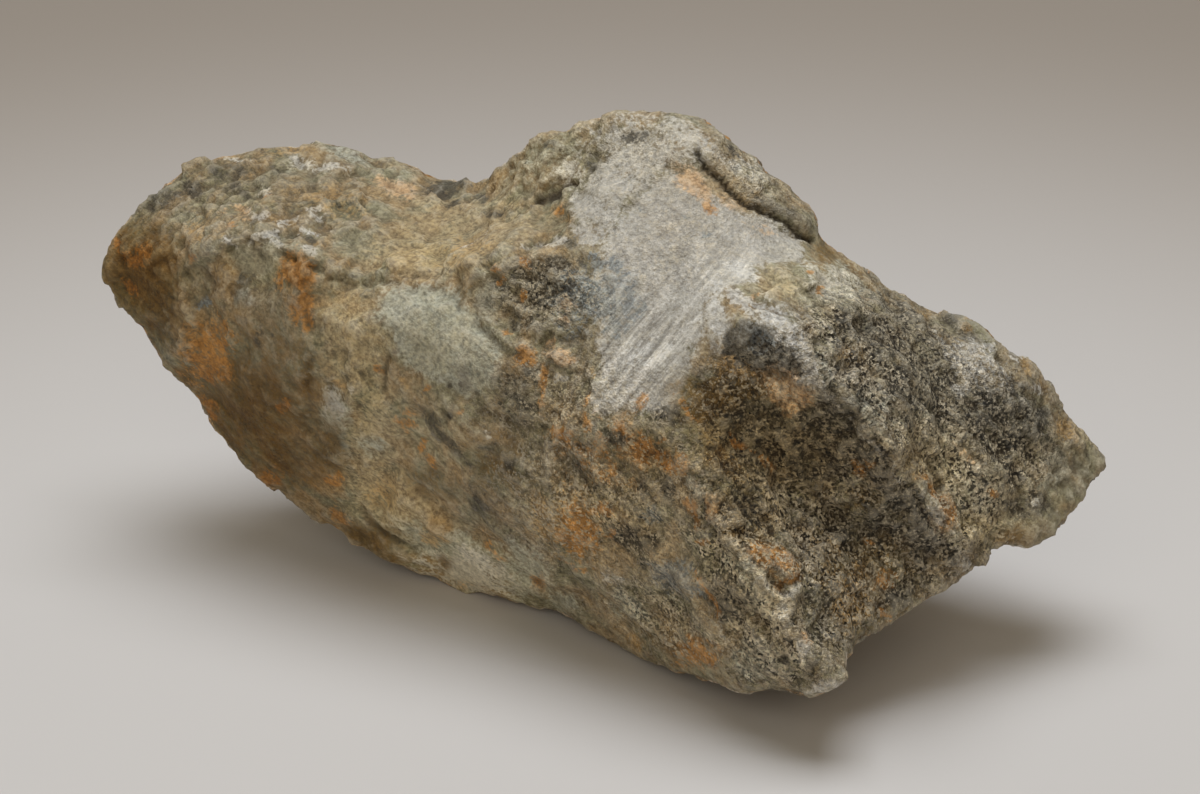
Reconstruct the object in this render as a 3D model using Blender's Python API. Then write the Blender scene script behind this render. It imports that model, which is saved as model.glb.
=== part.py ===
"""A rough block of soapstone, broken from the bed and resting on a small flat spot.

The block is one piece. Its skin starts as a cage of landmarks, chosen by eye on the real block:
two sheets of facets, the side in sight and the hidden side, that share one outline. The cage is
filled to one skin, its edges are worn, the breaks, ledges and chips of the stone are pushed into it,
and it is cut off flat where it rests.

Landmarks are given the way the block is sighted: from an eye EYE_DISTANCE_MM from its middle and
EYE_RISE_DEG above the horizon, (across, up, behind) is the point that appears `across` and `up` of
the middle, in millimetres at the middle's distance, and lies `behind` millimetres behind the middle.
The whole block then runs back towards its left end by RUN_BACK.

Frame: +X to the right, +Y away from the eye, +Z up. The finished block is moved over the ground so that
the origin is the middle of its bounding box's foot.
"""

import math

import bmesh
import bpy
from mathutils import Vector, geometry, noise

MM = 0.001

# Driving dimensions.
EYE_DISTANCE_MM = 600.0
EYE_RISE_DEG = 24.0
MIDDLE_HEIGHT_MM = 50.0
SKIN_VOXEL_MM = 1.2
EDGE_BULGE_MM = 2.0
RUN_BACK = 0.085  # How much further back the block lies for each millimetre to the left.
TRIANGLES = 7400

# Wear and relief: how far each kind of break stands out of the cage, and how long its waves are.
WEAR_PASSES = 3
WORN_BACK_MM = 0.6
SWELL_MM, SWELL_LENGTH_MM = 0.7, 24.0
LARGE_CHIP_MM, LARGE_CHIP_TILT = 15.0, 0.11
SMALL_CHIP_MM, SMALL_CHIP_TILT = 7.0, 0.12
LEDGE_MM, LEDGE_PITCH_MM = 1.3, 7.5
FOLIATION = Vector((0.72, 0.38, 0.58)).normalized()
SOLE_FADE_MM = 5.0

SEED = Vector((13.7, 5.1, 8.9))
LEAN_SEED = 3  # Which way each chip leans.

# Where the relief is calmer, and where the layers of the stone stand out as ledges:
# (across, up, behind, radius in mm, share).
CALM = [
    (12, 17, -6, 24, 0.75), (36, -10, -19, 20, 0.5), (-30, 29, 27, 14, 0.5), (-61, 24, 16, 9, 0.6),
    (-84, 27, 40, 26, 0.7), (-60, 44, 50, 26, 0.6), (-25, 40, 46, 26, 0.6), (15, 50, 24, 24, 0.6),
    (36, 36, 20, 22, 0.6), (60, 16, 16, 26, 0.5), (88, -10, 13, 24, 0.6), (60, -34, -16, 24, 0.6),
    (40, -50, -40, 22, 0.7), (10, -48, -12, 26, 0.6), (-20, -35, 16, 22, 0.5), (-55, -20, 31, 26, 0.6),
    (-76, 2, 36, 24, 0.6),
]
LEDGED = [
    (-15, -22, -3, 34, 0.8), (10, -30, -22, 30, 1.0), (-36, -14, 8, 26, 0.6),
    (60, 0, -3, 30, 0.8), (26, -42, -27, 20, 0.8),
]

# The outline in sight, clockwise from the nose at the left: (across, up, behind).
OUTLINE = [
    # The nose.
    (-90.3, 21.8, 36), (-88.8, 26.8, 39), (-86.8, 30.8, 42), (-83.4, 34.8, 45),
    (-78.6, 37.8, 47), (-75.2, 41, 49), (-72, 42.8, 50),
    # The crest of the left hump.
    (-65, 43.6, 51), (-58.5, 45, 52), (-52, 45.7, 52), (-46, 45.5, 52), (-40, 43, 52), (-35, 42, 51),
    # The saddle.
    (-30, 39.5, 50), (-25.5, 39, 49), (-22, 38, 46), (-19.5, 40, 42),
    # The climb to the summit.
    (-16, 44, 38), (-10.5, 47.4, 32), (-3, 49.4, 28), (3.5, 51.5, 25), (9.5, 51.6, 24), (17.5, 50.6, 24),
    # The edge of the slab.
    (24, 46, 24), (29.5, 41.3, 23), (35.3, 36.8, 21), (38.4, 33.4, 19), (39, 28.3, 17),
    # The shoulder down to the tail.
    (44, 24.5, 17), (50.5, 20, 17), (60.5, 15.5, 16), (69.5, 12.5, 15),
    (74, 9, 14), (78.5, 4.5, 13), (83, -1.5, 13), (87.5, -6.5, 13),
    # The tail and the edge under it.
    (91.5, -12, 14), (89.5, -14.5, 11), (88, -18, 7), (81.5, -24, 1), (76.5, -27, -2), (71.5, -27, -5),
    (68.5, -29.5, -10), (64, -33.5, -14), (57.5, -37, -18), (50.5, -40.8, -23), (45, -43.6, -29),
    # The lip at the front corner.
    (44.3, -47.5, -37), (45.8, -50.8, -42), (41.5, -53.2, -43), (34, -52.4, -38), (24.5, -51.6, -30),
    # The front edge of the sole.
    (16, -50, -19), (6.5, -47, -8), (-1, -42.5, 0), (-7, -38.5, 7),
    (-12, -38.4, 11), (-16, -36.3, 14), (-21, -35.4, 16), (-25, -37, 18), (-29, -33.5, 22),
    # The belly, rising back to the nose.
    (-36.5, -30.5, 25), (-45, -25.5, 28), (-54, -19.5, 31), (-61, -15.5, 33), (-65, -12, 34),
    (-67.8, -7, 35), (-70.3, -4.2, 36), (-71.5, 0, 36), (-75.6, 3.2, 37), (-78.8, 6.2, 37),
    (-80.8, 11, 37), (-86.5, 16, 37),
]

# Ridges and valleys of the side in sight: facets meet along each of these lines.
RIDGES = {
    "end face": [(-81, 28, 33), (-76, 24, 27), (-76, 14, 27), (-77, 8, 31)],
    "brow": [
        (-76, 24, 27), (-68, 28, 21), (-61, 30, 18), (-55, 28, 15),
        (-49, 24, 12), (-42, 22, 11), (-34, 22, 9), (-26, 20, 6),
    ],
    "hip": [(-55, 28, 15), (-53, 17, 9), (-52, 8, 8), (-50, -2, 11), (-46, -12, 16), (-43, -22, 23)],
    "corner block": [(-26, 20, 6), (-23, 24, 4), (-18, 25, 3), (-13, 26, 3), (-7, 28, 4)],
    "corner block, left": [(-23, 24, 4), (-25, 17, 1), (-20, 9, -4), (-17, 4, -8)],
    "facet, top": [
        (-7, 28, 4), (-3, 32, 7), (1, 36, 9), (9, 39, 12),
        (16, 38, 10), (25, 33, 8), (35, 27, 8), (44, 22, 10),
    ],
    "facet, foot": [(-1, -1, -19), (4, -1, -20), (11, -3, -23)],
    "facet, right": [
        (11, -3, -23), (15, 5, -20), (19, 12, -17), (22, 17, -14), (29, 21, -8), (36, 23, -2), (44, 22, 10),
    ],
    "slab lip": [
        (16, 46, 15), (20, 42.4, 12.5), (23.8, 38.9, 11.5), (27.5, 35.8, 10.5),
        (31, 33.9, 10), (35, 31.6, 10), (38, 29.4, 12),
    ],
    "crack": [
        (17, 43.4, 15.5), (20.5, 40, 14), (24, 37, 13), (28, 34.1, 12.2), (32, 32, 12), (36.5, 28.8, 13),
    ],
    "pit": [(-10, 38.2, 24), (-7, 37.4, 22.8), (-4.6, 36.4, 21)],
    "pit, brow": [(-11, 40, 24), (-7.5, 39.6, 20.5), (-4, 38.4, 19)],
    "main ridge": [
        (22, 17, -14), (30, 14, -18), (38, 8, -22), (44, 0, -24),
        (49, -7, -24), (53, -15, -22), (58, -21, -18), (64, -26, -14), (68, -28, -9),
    ],
    "crest": [
        (11, -3, -23), (13, -5, -24), (17, -13, -28.5), (21, -21, -32),
        (26.5, -30, -36), (32, -38, -39.5), (38, -45.5, -42),
    ],
}

# Single swellings and hollows between those lines.
SWELLINGS = {
    "left hump": [
        (-71, 35, 37), (-61, 37, 36), (-50, 36, 34), (-40, 34, 33),
        (-66, 40, 45), (-49, 42, 46), (-61, 33, 27),
    ],
    "left face": [(-68, 17, 21), (-69, 7, 24), (-63, -4, 25), (-59, 10, 14), (-61, -11, 29)],
    "belly": [(-43, 12, 3), (-41, -1, 4), (-36, -11, 7), (-32, -22, 12), (-29, -29, 18)],
    "pale face": [(-34, 16, 2), (-27, 9, -3), (-20, 0, -8), (-31, -1, -1), (-22, 12, -3)],
    "corner block": [(-14, 16, -2), (-10, 9, -7), (-4, 17, -5), (-2, 8, -12), (-7, 2, -12)],
    "saddle floor": [
        (-37, 26, 20), (-29, 29, 26), (-35, 34, 35), (-27, 35, 39), (-22, 27, 19), (-18, 32, 23),
    ],
    "flank": [(-13, 31, 16), (-15, 38, 30), (-7, 35, 16), (-8, 43, 26), (0, 44, 22), (7, 46, 20)],
    "facet": [(7, 26, -2), (18, 27, -1), (28, 26, 1), (2, 17, -8), (11, 16, -9), (4, 6, -15)],
    "slab": [(22, 46, 18), (29, 40, 17), (35, 34, 15)],
    "right face": [
        (36, 17, -10), (45, 16, -6), (45, 8, -15), (55, 12, 2), (54, 3, -9), (65, 8, 5), (63, -1, -3),
        (61, -11, -10), (73, 2, 5), (72, -8, -1), (81, -6, 7), (83, -15, 5), (70, -19, -6), (77, -21, -2),
    ],
    "scoop": [
        (21, 2, -20), (31, 0, -20), (38, -6, -20), (26, -8, -20), (34, -15, -18),
        (43, -14, -19), (44, -24, -18), (52, -24, -17), (49, -33, -21), (58, -31, -15),
    ],
    "front": [
        (-7, -5, -15), (2, -10, -21), (9, -19, -26), (-4, -20, -17), (-18, -10, -8), (-23, -19, -1),
        (-13, -28, -2), (0, -31, -13), (11, -33, -23), (18, -37, -29), (25, -44, -35), (16, -45, -24),
        (7, -40, -14), (32, -49, -40), (41, -50, -43),
    ],
}

# The hidden side, in the block's own frame: (x, y, z).
HIDDEN = {
    "back of the left hump": [(-72, 56, 62), (-48, 66, 60), (-66, 60, 40), (-42, 62, 30), (-50, 48, 14)],
    "back of the saddle": [(-26, 60, 58), (-22, 62, 36), (-24, 56, 14)],
    "back of the summit": [(8, 44, 82), (2, 56, 62), (8, 58, 34), (6, 52, 10)],
    "back of the tail": [(42, 33, 60), (38, 44, 44), (36, 42, 18), (66, 30, 42), (62, 28, 20), (84, 20, 30)],
    "under the tail": [(60, 8, 10), (44, -6, 5)],
    "sole": [
        (-18, 33, -3), (-8, 48, -3), (22, 40, -3), (38, 12, -3),
        (36, -10, -2), (20, 0, -3), (6, 8, -3), (4, 24, -3),
    ],
}


def clear_scene():
    """Removes whatever the file held."""
    for thing in list(bpy.data.objects):
        bpy.data.objects.remove(thing, do_unlink=True)


def sight_axes():
    """The eye's place and its right, up and forward directions, in millimetres."""
    rise = math.radians(EYE_RISE_DEG)
    forward = Vector((0, math.cos(rise), -math.sin(rise)))
    up = Vector((0, math.sin(rise), math.cos(rise)))
    middle = Vector((0, 0, MIDDLE_HEIGHT_MM))
    return middle - forward * EYE_DISTANCE_MM, Vector((1, 0, 0)), up, forward


def sighted(across, up_mm, behind):
    """The point that appears `across` and `up_mm` of the middle and lies `behind` it."""
    eye, right, up, forward = sight_axes()
    ray = forward * EYE_DISTANCE_MM + right * across + up * up_mm
    return eye + ray * ((behind - RUN_BACK * across - eye.y) / ray.y)


def apparent(point):
    """How far across and up of the middle a point appears."""
    eye, right, up, forward = sight_axes()
    offset = point - eye
    scale = EYE_DISTANCE_MM / offset.dot(forward)
    return Vector((offset.dot(right) * scale, offset.dot(up) * scale))


def inside(rim, spot):
    """Whether a spot lies inside a flat outline."""
    crossings = 0
    for a, b in zip(rim, rim[1:] + rim[:1]):
        if (a.y > spot.y) != (b.y > spot.y):
            crossings += spot.x < a.x + (b.x - a.x) * (spot.y - a.y) / (b.y - a.y)
    return crossings % 2 == 1


def sheet(outline, loose, lines):
    """Facets over the outline, through the loose points and along the lines.

    Returns the points inside the outline and the triangles, as indices into outline + points.
    """
    points = list(outline)
    index = {tuple(p): n for n, p in enumerate(points)}
    edges = []
    for line in lines:
        for p in line:
            if tuple(p) not in index:
                index[tuple(p)] = len(points)
                points.append(p)
        edges += [(index[tuple(a)], index[tuple(b)]) for a, b in zip(line, line[1:])]
    for p in loose:
        if tuple(p) not in index:
            index[tuple(p)] = len(points)
            points.append(p)
    flat = [apparent(p) for p in points]
    edges += [(n, (n + 1) % len(outline)) for n in range(len(outline))]
    made = geometry.delaunay_2d_cdt(flat, edges, [], 0, 1e-4, True)
    if len(made[0]) != len(points):
        raise ValueError("two landmarks coincide, or two lines cross")
    back = [sources[0] for sources in made[3]]
    rim = flat[:len(outline)]
    faces = [[back[v] for v in face] for face in made[2]]
    kept = [face for face in faces if inside(rim, sum((flat[v] for v in face), Vector((0, 0))) / 3)]
    return points[len(outline):], kept


def cage():
    """The cage of landmarks as a closed mesh, in metres."""
    outline = [sighted(*p) for p in OUTLINE]
    lines = [[sighted(*p) for p in line] for line in RIDGES.values()]
    loose = [sighted(*p) for spots in SWELLINGS.values() for p in spots]
    hidden = [Vector((x, y - RUN_BACK * x, z)) for spots in HIDDEN.values() for x, y, z in spots]
    seen_points, seen_faces = sheet(outline, loose, lines)
    hidden_points, hidden_faces = sheet(outline, hidden, [])
    shift = len(seen_points)
    mesh = bmesh.new()
    verts = [mesh.verts.new(p * MM) for p in outline + seen_points + hidden_points]
    eye = sight_axes()[0] * MM
    for faces, skip, bulge in ((seen_faces, 0, -EDGE_BULGE_MM), (hidden_faces, shift, EDGE_BULGE_MM)):
        for face in faces:
            corners = [verts[i if i < len(outline) else i + skip] for i in face]
            if max(face) >= len(outline):
                mesh.faces.new(corners)
                continue
            middle = sum((v.co for v in corners), Vector()) / 3
            top = mesh.verts.new(middle + (middle - eye).normalized() * bulge * MM)
            for a, b in zip(corners, corners[1:] + corners[:1]):
                mesh.faces.new((a, b, top))
    bmesh.ops.recalc_face_normals(mesh, faces=mesh.faces)
    return mesh


def evaluated(mesh, modifiers):
    """The mesh after these modifiers, each given as (type, settings)."""
    data = bpy.data.meshes.new("working")
    mesh.to_mesh(data)
    mesh.free()
    working = bpy.data.objects.new("working", data)
    bpy.context.scene.collection.objects.link(working)
    for kind, settings in modifiers:
        modifier = working.modifiers.new(kind.title(), kind)
        for name, value in settings.items():
            setattr(modifier, name, value)
    graph = bpy.context.evaluated_depsgraph_get()
    result = bmesh.new()
    result.from_object(working, graph)
    bpy.data.objects.remove(working, do_unlink=True)
    bpy.data.meshes.remove(data)
    return result


def smooth_step(low, high, value):
    """0 below low, 1 above high, and an even curve between."""
    share = min(1.0, max(0.0, (value - low) / (high - low)))
    return share * share * (3 - 2 * share)


def zone(point, spots):
    """How far a point, in millimetres, belongs to the strongest of these spots."""
    return max(
        share * (1 - smooth_step(0.5 * radius, radius, (point - centre).length))
        for centre, radius, share in spots
    )


def spots_of(table):
    """The spots of a table as (centre, radius, share)."""
    return [(sighted(across, up, behind), radius, share) for across, up, behind, radius, share in table]


def chips(point, size, tilt):
    """Flat breaks about `size` wide, each tilted its own way, in millimetres."""
    distances, centres = noise.voronoi(point / size + SEED)
    heights = []
    for centre in centres[:2]:
        lean = noise.noise_vector(centre * 5.3) * tilt * 2
        rise = noise.noise(centre * 3.1) * tilt * 0.5
        heights.append((lean.dot(point / size + SEED - centre) + rise) * size)
    share = 0.5 + 0.5 * smooth_step(0.0, 0.15, distances[1] - distances[0])
    return heights[0] * share + heights[1] * (1 - share)


def ledges(point):
    """Layers of the stone standing out one over the next, from 0 to 1."""
    warp = noise.fractal(point / 30 - SEED, 1.0, 2.0, 2) * 1.3
    layer = point.dot(FOLIATION) / LEDGE_PITCH_MM + warp
    share = layer % 1.0
    strength = noise.noise(Vector((math.floor(layer) * 3.7, 0, 0)) + point / 34) + 0.45
    return max(0.0, strength) * (smooth_step(0.0, 0.7, share) - smooth_step(0.78, 1.0, share))


def relief(point, calm, ledged):
    """How far the broken surface stands out of the cage at a point, in millimetres."""
    broken = (
        SWELL_MM * noise.fractal(point / SWELL_LENGTH_MM + SEED, 1.0, 2.0, 3)
        + chips(point, LARGE_CHIP_MM, LARGE_CHIP_TILT)
        + chips(point, SMALL_CHIP_MM, SMALL_CHIP_TILT)
    )
    layered = LEDGE_MM * ledges(point) * zone(point, ledged)
    return (broken + layered) * (1 - zone(point, calm)) + WORN_BACK_MM


def break_surface(mesh):
    """Pushes the relief into the skin, fading out towards the sole."""
    mesh.normal_update()
    calm, ledged = spots_of(CALM), spots_of(LEDGED)
    moves = []
    for vert in mesh.verts:
        point = vert.co / MM
        fade = smooth_step(0.0, SOLE_FADE_MM, point.z)
        moves.append(vert.normal * (relief(point, calm, ledged) * fade * MM))
    for vert, move in zip(mesh.verts, moves):
        vert.co += move


def cut_sole(mesh):
    """Cuts the block off flat on the ground."""
    geom = mesh.verts[:] + mesh.edges[:] + mesh.faces[:]
    cut = bmesh.ops.bisect_plane(
        mesh, geom=geom, dist=1e-7, plane_co=(0, 0, 0), plane_no=(0, 0, -1), clear_outer=True
    )
    rim = [e for e in cut["geom_cut"] if isinstance(e, bmesh.types.BMEdge)]
    bmesh.ops.triangle_fill(mesh, edges=rim, use_beauty=True, normal=(0, 0, -1))


def centre(mesh):
    """Moves the block over the ground until the origin is the middle of its foot."""
    places = [vert.co for vert in mesh.verts]
    middle = [(min(p[axis] for p in places) + max(p[axis] for p in places)) / 2 for axis in (0, 1)]
    shift = Vector((-middle[0], -middle[1], -min(p.z for p in places)))
    for vert in mesh.verts:
        vert.co += shift
    print("moved by", [round(value / MM, 3) for value in shift], "mm")


def stone_material():
    """Grey-green talc and chlorite."""
    material = bpy.data.materials.new("soapstone")
    material.use_nodes = True
    shader = material.node_tree.nodes["Principled BSDF"]
    shader.inputs["Base Color"].default_value = (0.23, 0.20, 0.15, 1)
    shader.inputs["Roughness"].default_value = 0.85
    shader.inputs["Metallic"].default_value = 0.0
    return material


def soapstone():
    """The finished block."""
    skin = evaluated(cage(), [("REMESH", {"mode": "VOXEL", "voxel_size": SKIN_VOXEL_MM * MM})])
    for _ in range(WEAR_PASSES):
        bmesh.ops.smooth_vert(
            skin, verts=skin.verts, factor=0.5, use_axis_x=True, use_axis_y=True, use_axis_z=True
        )
    break_surface(skin)
    bmesh.ops.triangulate(skin, faces=skin.faces)
    block = evaluated(skin, [("DECIMATE", {"ratio": TRIANGLES / len(skin.faces)})])
    cut_sole(block)
    bmesh.ops.triangulate(block, faces=block.faces)
    centre(block)
    data = bpy.data.meshes.new("soapstone")
    block.to_mesh(data)
    block.free()
    data.materials.append(stone_material())
    stone = bpy.data.objects.new("soapstone", data)
    bpy.context.scene.collection.objects.link(stone)
    return stone


def main():
    """Builds the block."""
    clear_scene()
    noise.seed_set(LEAN_SEED)
    soapstone()


main()
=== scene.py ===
"""The looks of a rough block of soapstone: its broken skin, its minerals and a plain studio round it.

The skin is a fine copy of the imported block. Where each mineral lies on the side in sight is given in the
sight frame: 1200 units across and 794 down, as the block is seen from the camera's standpoint. The hidden
sides take the same minerals in patches of the same size. Lengths are in metres unless a name ends in _mm.
"""

import logging
import math
from dataclasses import dataclass, field
from enum import Enum
from typing import Any

import bpy
import numpy as np
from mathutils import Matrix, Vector, noise


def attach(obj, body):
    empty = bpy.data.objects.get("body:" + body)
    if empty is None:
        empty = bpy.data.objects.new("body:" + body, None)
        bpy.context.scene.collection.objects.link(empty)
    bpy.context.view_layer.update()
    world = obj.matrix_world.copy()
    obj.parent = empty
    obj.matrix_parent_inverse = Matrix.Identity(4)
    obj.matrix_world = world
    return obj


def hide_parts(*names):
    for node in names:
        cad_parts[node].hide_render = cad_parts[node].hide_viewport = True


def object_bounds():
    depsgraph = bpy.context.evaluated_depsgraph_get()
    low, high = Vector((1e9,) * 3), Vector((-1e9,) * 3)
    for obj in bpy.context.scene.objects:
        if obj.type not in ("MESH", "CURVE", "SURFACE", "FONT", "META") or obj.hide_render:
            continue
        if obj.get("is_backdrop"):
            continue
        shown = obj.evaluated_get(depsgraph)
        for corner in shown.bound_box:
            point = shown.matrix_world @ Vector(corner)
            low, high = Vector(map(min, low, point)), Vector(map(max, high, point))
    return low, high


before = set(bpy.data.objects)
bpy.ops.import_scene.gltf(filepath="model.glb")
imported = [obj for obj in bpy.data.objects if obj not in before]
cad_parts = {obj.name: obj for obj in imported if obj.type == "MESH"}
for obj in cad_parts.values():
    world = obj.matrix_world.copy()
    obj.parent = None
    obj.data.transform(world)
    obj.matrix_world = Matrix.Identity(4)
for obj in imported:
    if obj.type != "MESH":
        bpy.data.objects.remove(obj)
CAD_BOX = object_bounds()

LOG = logging.getLogger("soapstone")
MM = 0.001
JOIN_GAP = 1e-6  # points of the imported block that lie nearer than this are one
OCTAVE = 2.0  # how much finer each wave of a noise is than the one before
CLOUD_WAVES = 3
LAYER_WAVES = 2
MIDDLE = 0.5  # the middle of a value from 0 to 1

Shade = tuple[int, int, int]
Tint = tuple[float, float, float, float]


def smooth_step(low: float, high: float, value: Any) -> Any:
    """Eases a value or an array of them from 0 at `low` to 1 at `high`.

    Args:
        low: Where the rise starts.
        high: Where the rise ends.
        value: A number or a numpy array.

    Returns:
        The eased value, of the same kind.
    """
    share = np.clip((value - low) / (high - low), 0.0, 1.0)
    return share * share * (3 - 2 * share)


def ranged(pair: tuple[float, float], value: Any) -> Any:
    """Grows with a value.

    Args:
        pair: What it is at 0, and what a value of 1 adds to it.
        value: A number, a numpy array or a shader socket.

    Returns:
        The grown value, of the same kind.
    """
    start, gain = pair
    return start + gain * value


def linear(red: int, green: int, blue: int) -> Tint:
    """Turns a display colour into the light it stands for, by the usual display curve.

    Args:
        red: Red, from 0 to 255.
        green: Green, from 0 to 255.
        blue: Blue, from 0 to 255.

    Returns:
        The linear colour with an alpha of 1.
    """
    parts = [value / 255 for value in (red, green, blue)]
    lit = [part / 12.92 if part <= 0.04045 else ((part + 0.055) / 1.055) ** 2.4 for part in parts]
    return (*lit, 1.0)


# ---------------------------------------------------------------------------------------------------
# The standpoint.


@dataclass(frozen=True)
class Sight:
    """The camera's standpoint, and the sight frame that places on the block are given in.

    Attributes:
        aim: The place at the middle of the frame.
        distance: How far away the camera stands.
        rise_deg: How far it looks down.
        lens_mm: Its focal length.
        sensor_mm: The width of its sensor.
        near: The nearest thing that it sees.
        farthest: The farthest thing that it sees.
        wide: The frame's width in units.
        high: The frame's height in units.
        turned_away: How squarely a point faces it where it counts as hidden.
        turned_here: How squarely a point faces it where it counts as seen.
    """

    aim: tuple[float, float, float] = (0.001421, -0.01153, 0.050)
    distance: float = 0.6
    rise_deg: float = 24.0
    lens_mm: float = 100.0
    sensor_mm: float = 36.0
    near: float = 0.01
    farthest: float = 20.0
    wide: float = 1200.0
    high: float = 794.0
    turned_away: float = 0.02
    turned_here: float = 0.22

    def forward(self) -> Vector:
        """The direction of sight."""
        rise = math.radians(self.rise_deg)
        return Vector((0, math.cos(rise), -math.sin(rise)))

    def up(self) -> Vector:
        """The direction that shows as upright."""
        rise = math.radians(self.rise_deg)
        return Vector((0, math.sin(rise), math.cos(rise)))

    def eye(self) -> Vector:
        """Where the camera stands."""
        return Vector(self.aim) - self.forward() * self.distance

    def spots(self, points: np.ndarray) -> np.ndarray:
        """Where points show in the sight frame.

        Args:
            points: An (n, 3) array of places.

        Returns:
            An (n, 2) array of units across and down.
        """
        offset = points - np.array(self.eye())
        scale = self.wide * self.lens_mm / self.sensor_mm / (offset @ np.array(self.forward()))
        across = self.wide / 2 + offset[:, 0] * scale
        down = self.high / 2 - (offset @ np.array(self.up())) * scale
        return np.stack([across, down], axis=1)

    def seen(self, points: np.ndarray, normals: np.ndarray) -> np.ndarray:
        """Which points are on the side in sight.

        Args:
            points: An (n, 3) array of places.
            normals: The directions in which the surface faces there.

        Returns:
            1 for a point in sight, 0 for a hidden one, and less than 1 where the surface turns away.
        """
        towards = np.array(self.eye()) - points
        towards /= np.linalg.norm(towards, axis=1, keepdims=True)
        facing = np.sum(towards * normals, axis=1)
        return smooth_step(self.turned_away, self.turned_here, facing)

    def camera(self) -> bpy.types.Object:
        """Sets up the camera.

        Returns:
            The camera's object, which is the scene's camera from now on.
        """
        data = bpy.data.cameras.new("standpoint")
        data.lens = self.lens_mm
        data.sensor_width = self.sensor_mm
        data.clip_start = self.near
        data.clip_end = self.farthest
        camera = bpy.data.objects.new("standpoint", data)
        camera.location = self.eye()
        camera.rotation_mode = "QUATERNION"
        camera.rotation_quaternion = self.forward().to_track_quat("-Z", "Y")
        bpy.context.scene.collection.objects.link(camera)
        bpy.context.scene.camera = camera
        return camera


# ---------------------------------------------------------------------------------------------------
# Where the minerals lie.


class Mineral(Enum):
    """The minerals and weathered films of the block, in the order in which they lie over each other."""

    SLATE = "slate"
    BUFF = "buff"
    MINT = "mint"
    TALC = "talc"
    # Brown stain, and on the nose's lower edge also painted shade.
    UMBER = "umber"
    # Dark chlorite, and at the pit a painted shadow under a little ledge.
    CHARCOAL = "charcoal"
    BLUE = "blue"
    TAN = "tan"
    RUST = "rust"
    PEACH = "peach"
    # Pale films, and in two places a painted highlight along a lit edge.
    FROST = "frost"


def from_course(spots: np.ndarray, course: np.ndarray) -> tuple[np.ndarray, np.ndarray]:
    """How far spots lie from a course of straight runs, and on which side of it.

    Args:
        spots: An (n, 2) array of places in the sight frame.
        course: An (m, 2) array of the course's corners.

    Returns:
        The distance of each spot, and how far it lies to the left of its nearest run.
    """
    nearest = np.full(len(spots), np.inf)
    side = np.zeros(len(spots))
    for start, end in zip(course[:-1], course[1:]):
        run = end - start
        away = spots - start
        share = np.clip((away @ run) / (run @ run), 0.0, 1.0)
        distance = np.linalg.norm(away - share[:, None] * run, axis=1)
        turned = run[1] * away[:, 0] - run[0] * away[:, 1]
        side = np.where(distance < nearest, turned / np.linalg.norm(run), side)
        nearest = np.minimum(nearest, distance)
    return nearest, side


@dataclass(frozen=True)
class Patch:
    """An oval of a mineral in the sight frame.

    Attributes:
        across: Its middle, in units from the left.
        down: Its middle, in units from the top.
        wide: Half its width before it is turned.
        high: Half its height before it is turned.
        turn: Degrees that it is turned, anticlockwise.
        strength: 1 for a full patch, 0.5 for a thin scatter.
        fade: Where it has faded out, in half widths.
    """

    across: float
    down: float
    wide: float
    high: float
    turn: float = 0.0
    strength: float = 1.0
    fade: float = 2.0

    def cover(self, spots: np.ndarray) -> np.ndarray:
        """How much of it lies at each spot.

        Args:
            spots: An (n, 2) array of places in the sight frame.

        Returns:
            Its strength at the middle, and half of that at its edge.
        """
        turn = math.radians(self.turn)
        right = spots[:, 0] - self.across
        up = self.down - spots[:, 1]
        along = (right * math.cos(turn) + up * math.sin(turn)) / self.wide
        over = (up * math.cos(turn) - right * math.sin(turn)) / self.high
        return self.strength * (1 - smooth_step(0.0, self.fade, np.hypot(along, over)))


@dataclass(frozen=True)
class Field:
    """A many-cornered area of a mineral in the sight frame.

    Attributes:
        corners: Its outline, as (across, down).
        soft: Units over which its edge fades.
        strength: 1 for a full field, 0.5 for a thin scatter.
    """

    corners: tuple[tuple[float, float], ...]
    soft: float = 10.0
    strength: float = 1.0

    def cover(self, spots: np.ndarray) -> np.ndarray:
        """How much of it lies at each spot.

        Args:
            spots: An (n, 2) array of places in the sight frame.

        Returns:
            Its strength inside, and half of that at its edge.
        """
        rim = np.array(self.corners + self.corners[:1], float)
        nearest, _ = from_course(spots, rim)
        within = np.zeros(len(spots), bool)
        for start, end in zip(rim[:-1], rim[1:]):
            if start[1] == end[1]:
                continue
            straddles = (start[1] > spots[:, 1]) != (end[1] > spots[:, 1])
            slant = (end[0] - start[0]) / (end[1] - start[1])
            within ^= straddles & (spots[:, 0] < start[0] + slant * (spots[:, 1] - start[1]))
        depth = np.where(within, nearest, -nearest)
        return self.strength * smooth_step(-self.soft, self.soft, depth)


@dataclass(frozen=True)
class Ledge:
    """A broken edge in the side in sight: the stone stands out on the left of its course.

    Attributes:
        route: Its course in the sight frame.
        reach: How far to each side it is felt, in units.
        rise_mm: How far one side stands out over the other.
        soft: How far its step is rounded, in units.
        sunk: The share of its rise by which the lower side is sunk.
    """

    route: tuple[tuple[float, float], ...]
    reach: float
    rise_mm: float
    soft: float = 2.0
    sunk: float = 0.12

    def lift(self, spots: np.ndarray) -> np.ndarray:
        """How far it lifts each spot.

        Args:
            spots: An (n, 2) array of places in the sight frame.

        Returns:
            The lift in millimetres; the lower side is sunk.
        """
        course = np.array(self.route, float)
        nearest, side = from_course(spots, course)
        ends = np.minimum(np.linalg.norm(spots - course[0], axis=1),
                          np.linalg.norm(spots - course[-1], axis=1))
        fall = 1 - smooth_step(0.0, self.reach, nearest)
        step = smooth_step(-self.soft, self.soft, side) - self.sunk
        return self.rise_mm * fall * step * smooth_step(0.0, self.reach, ends)


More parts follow.
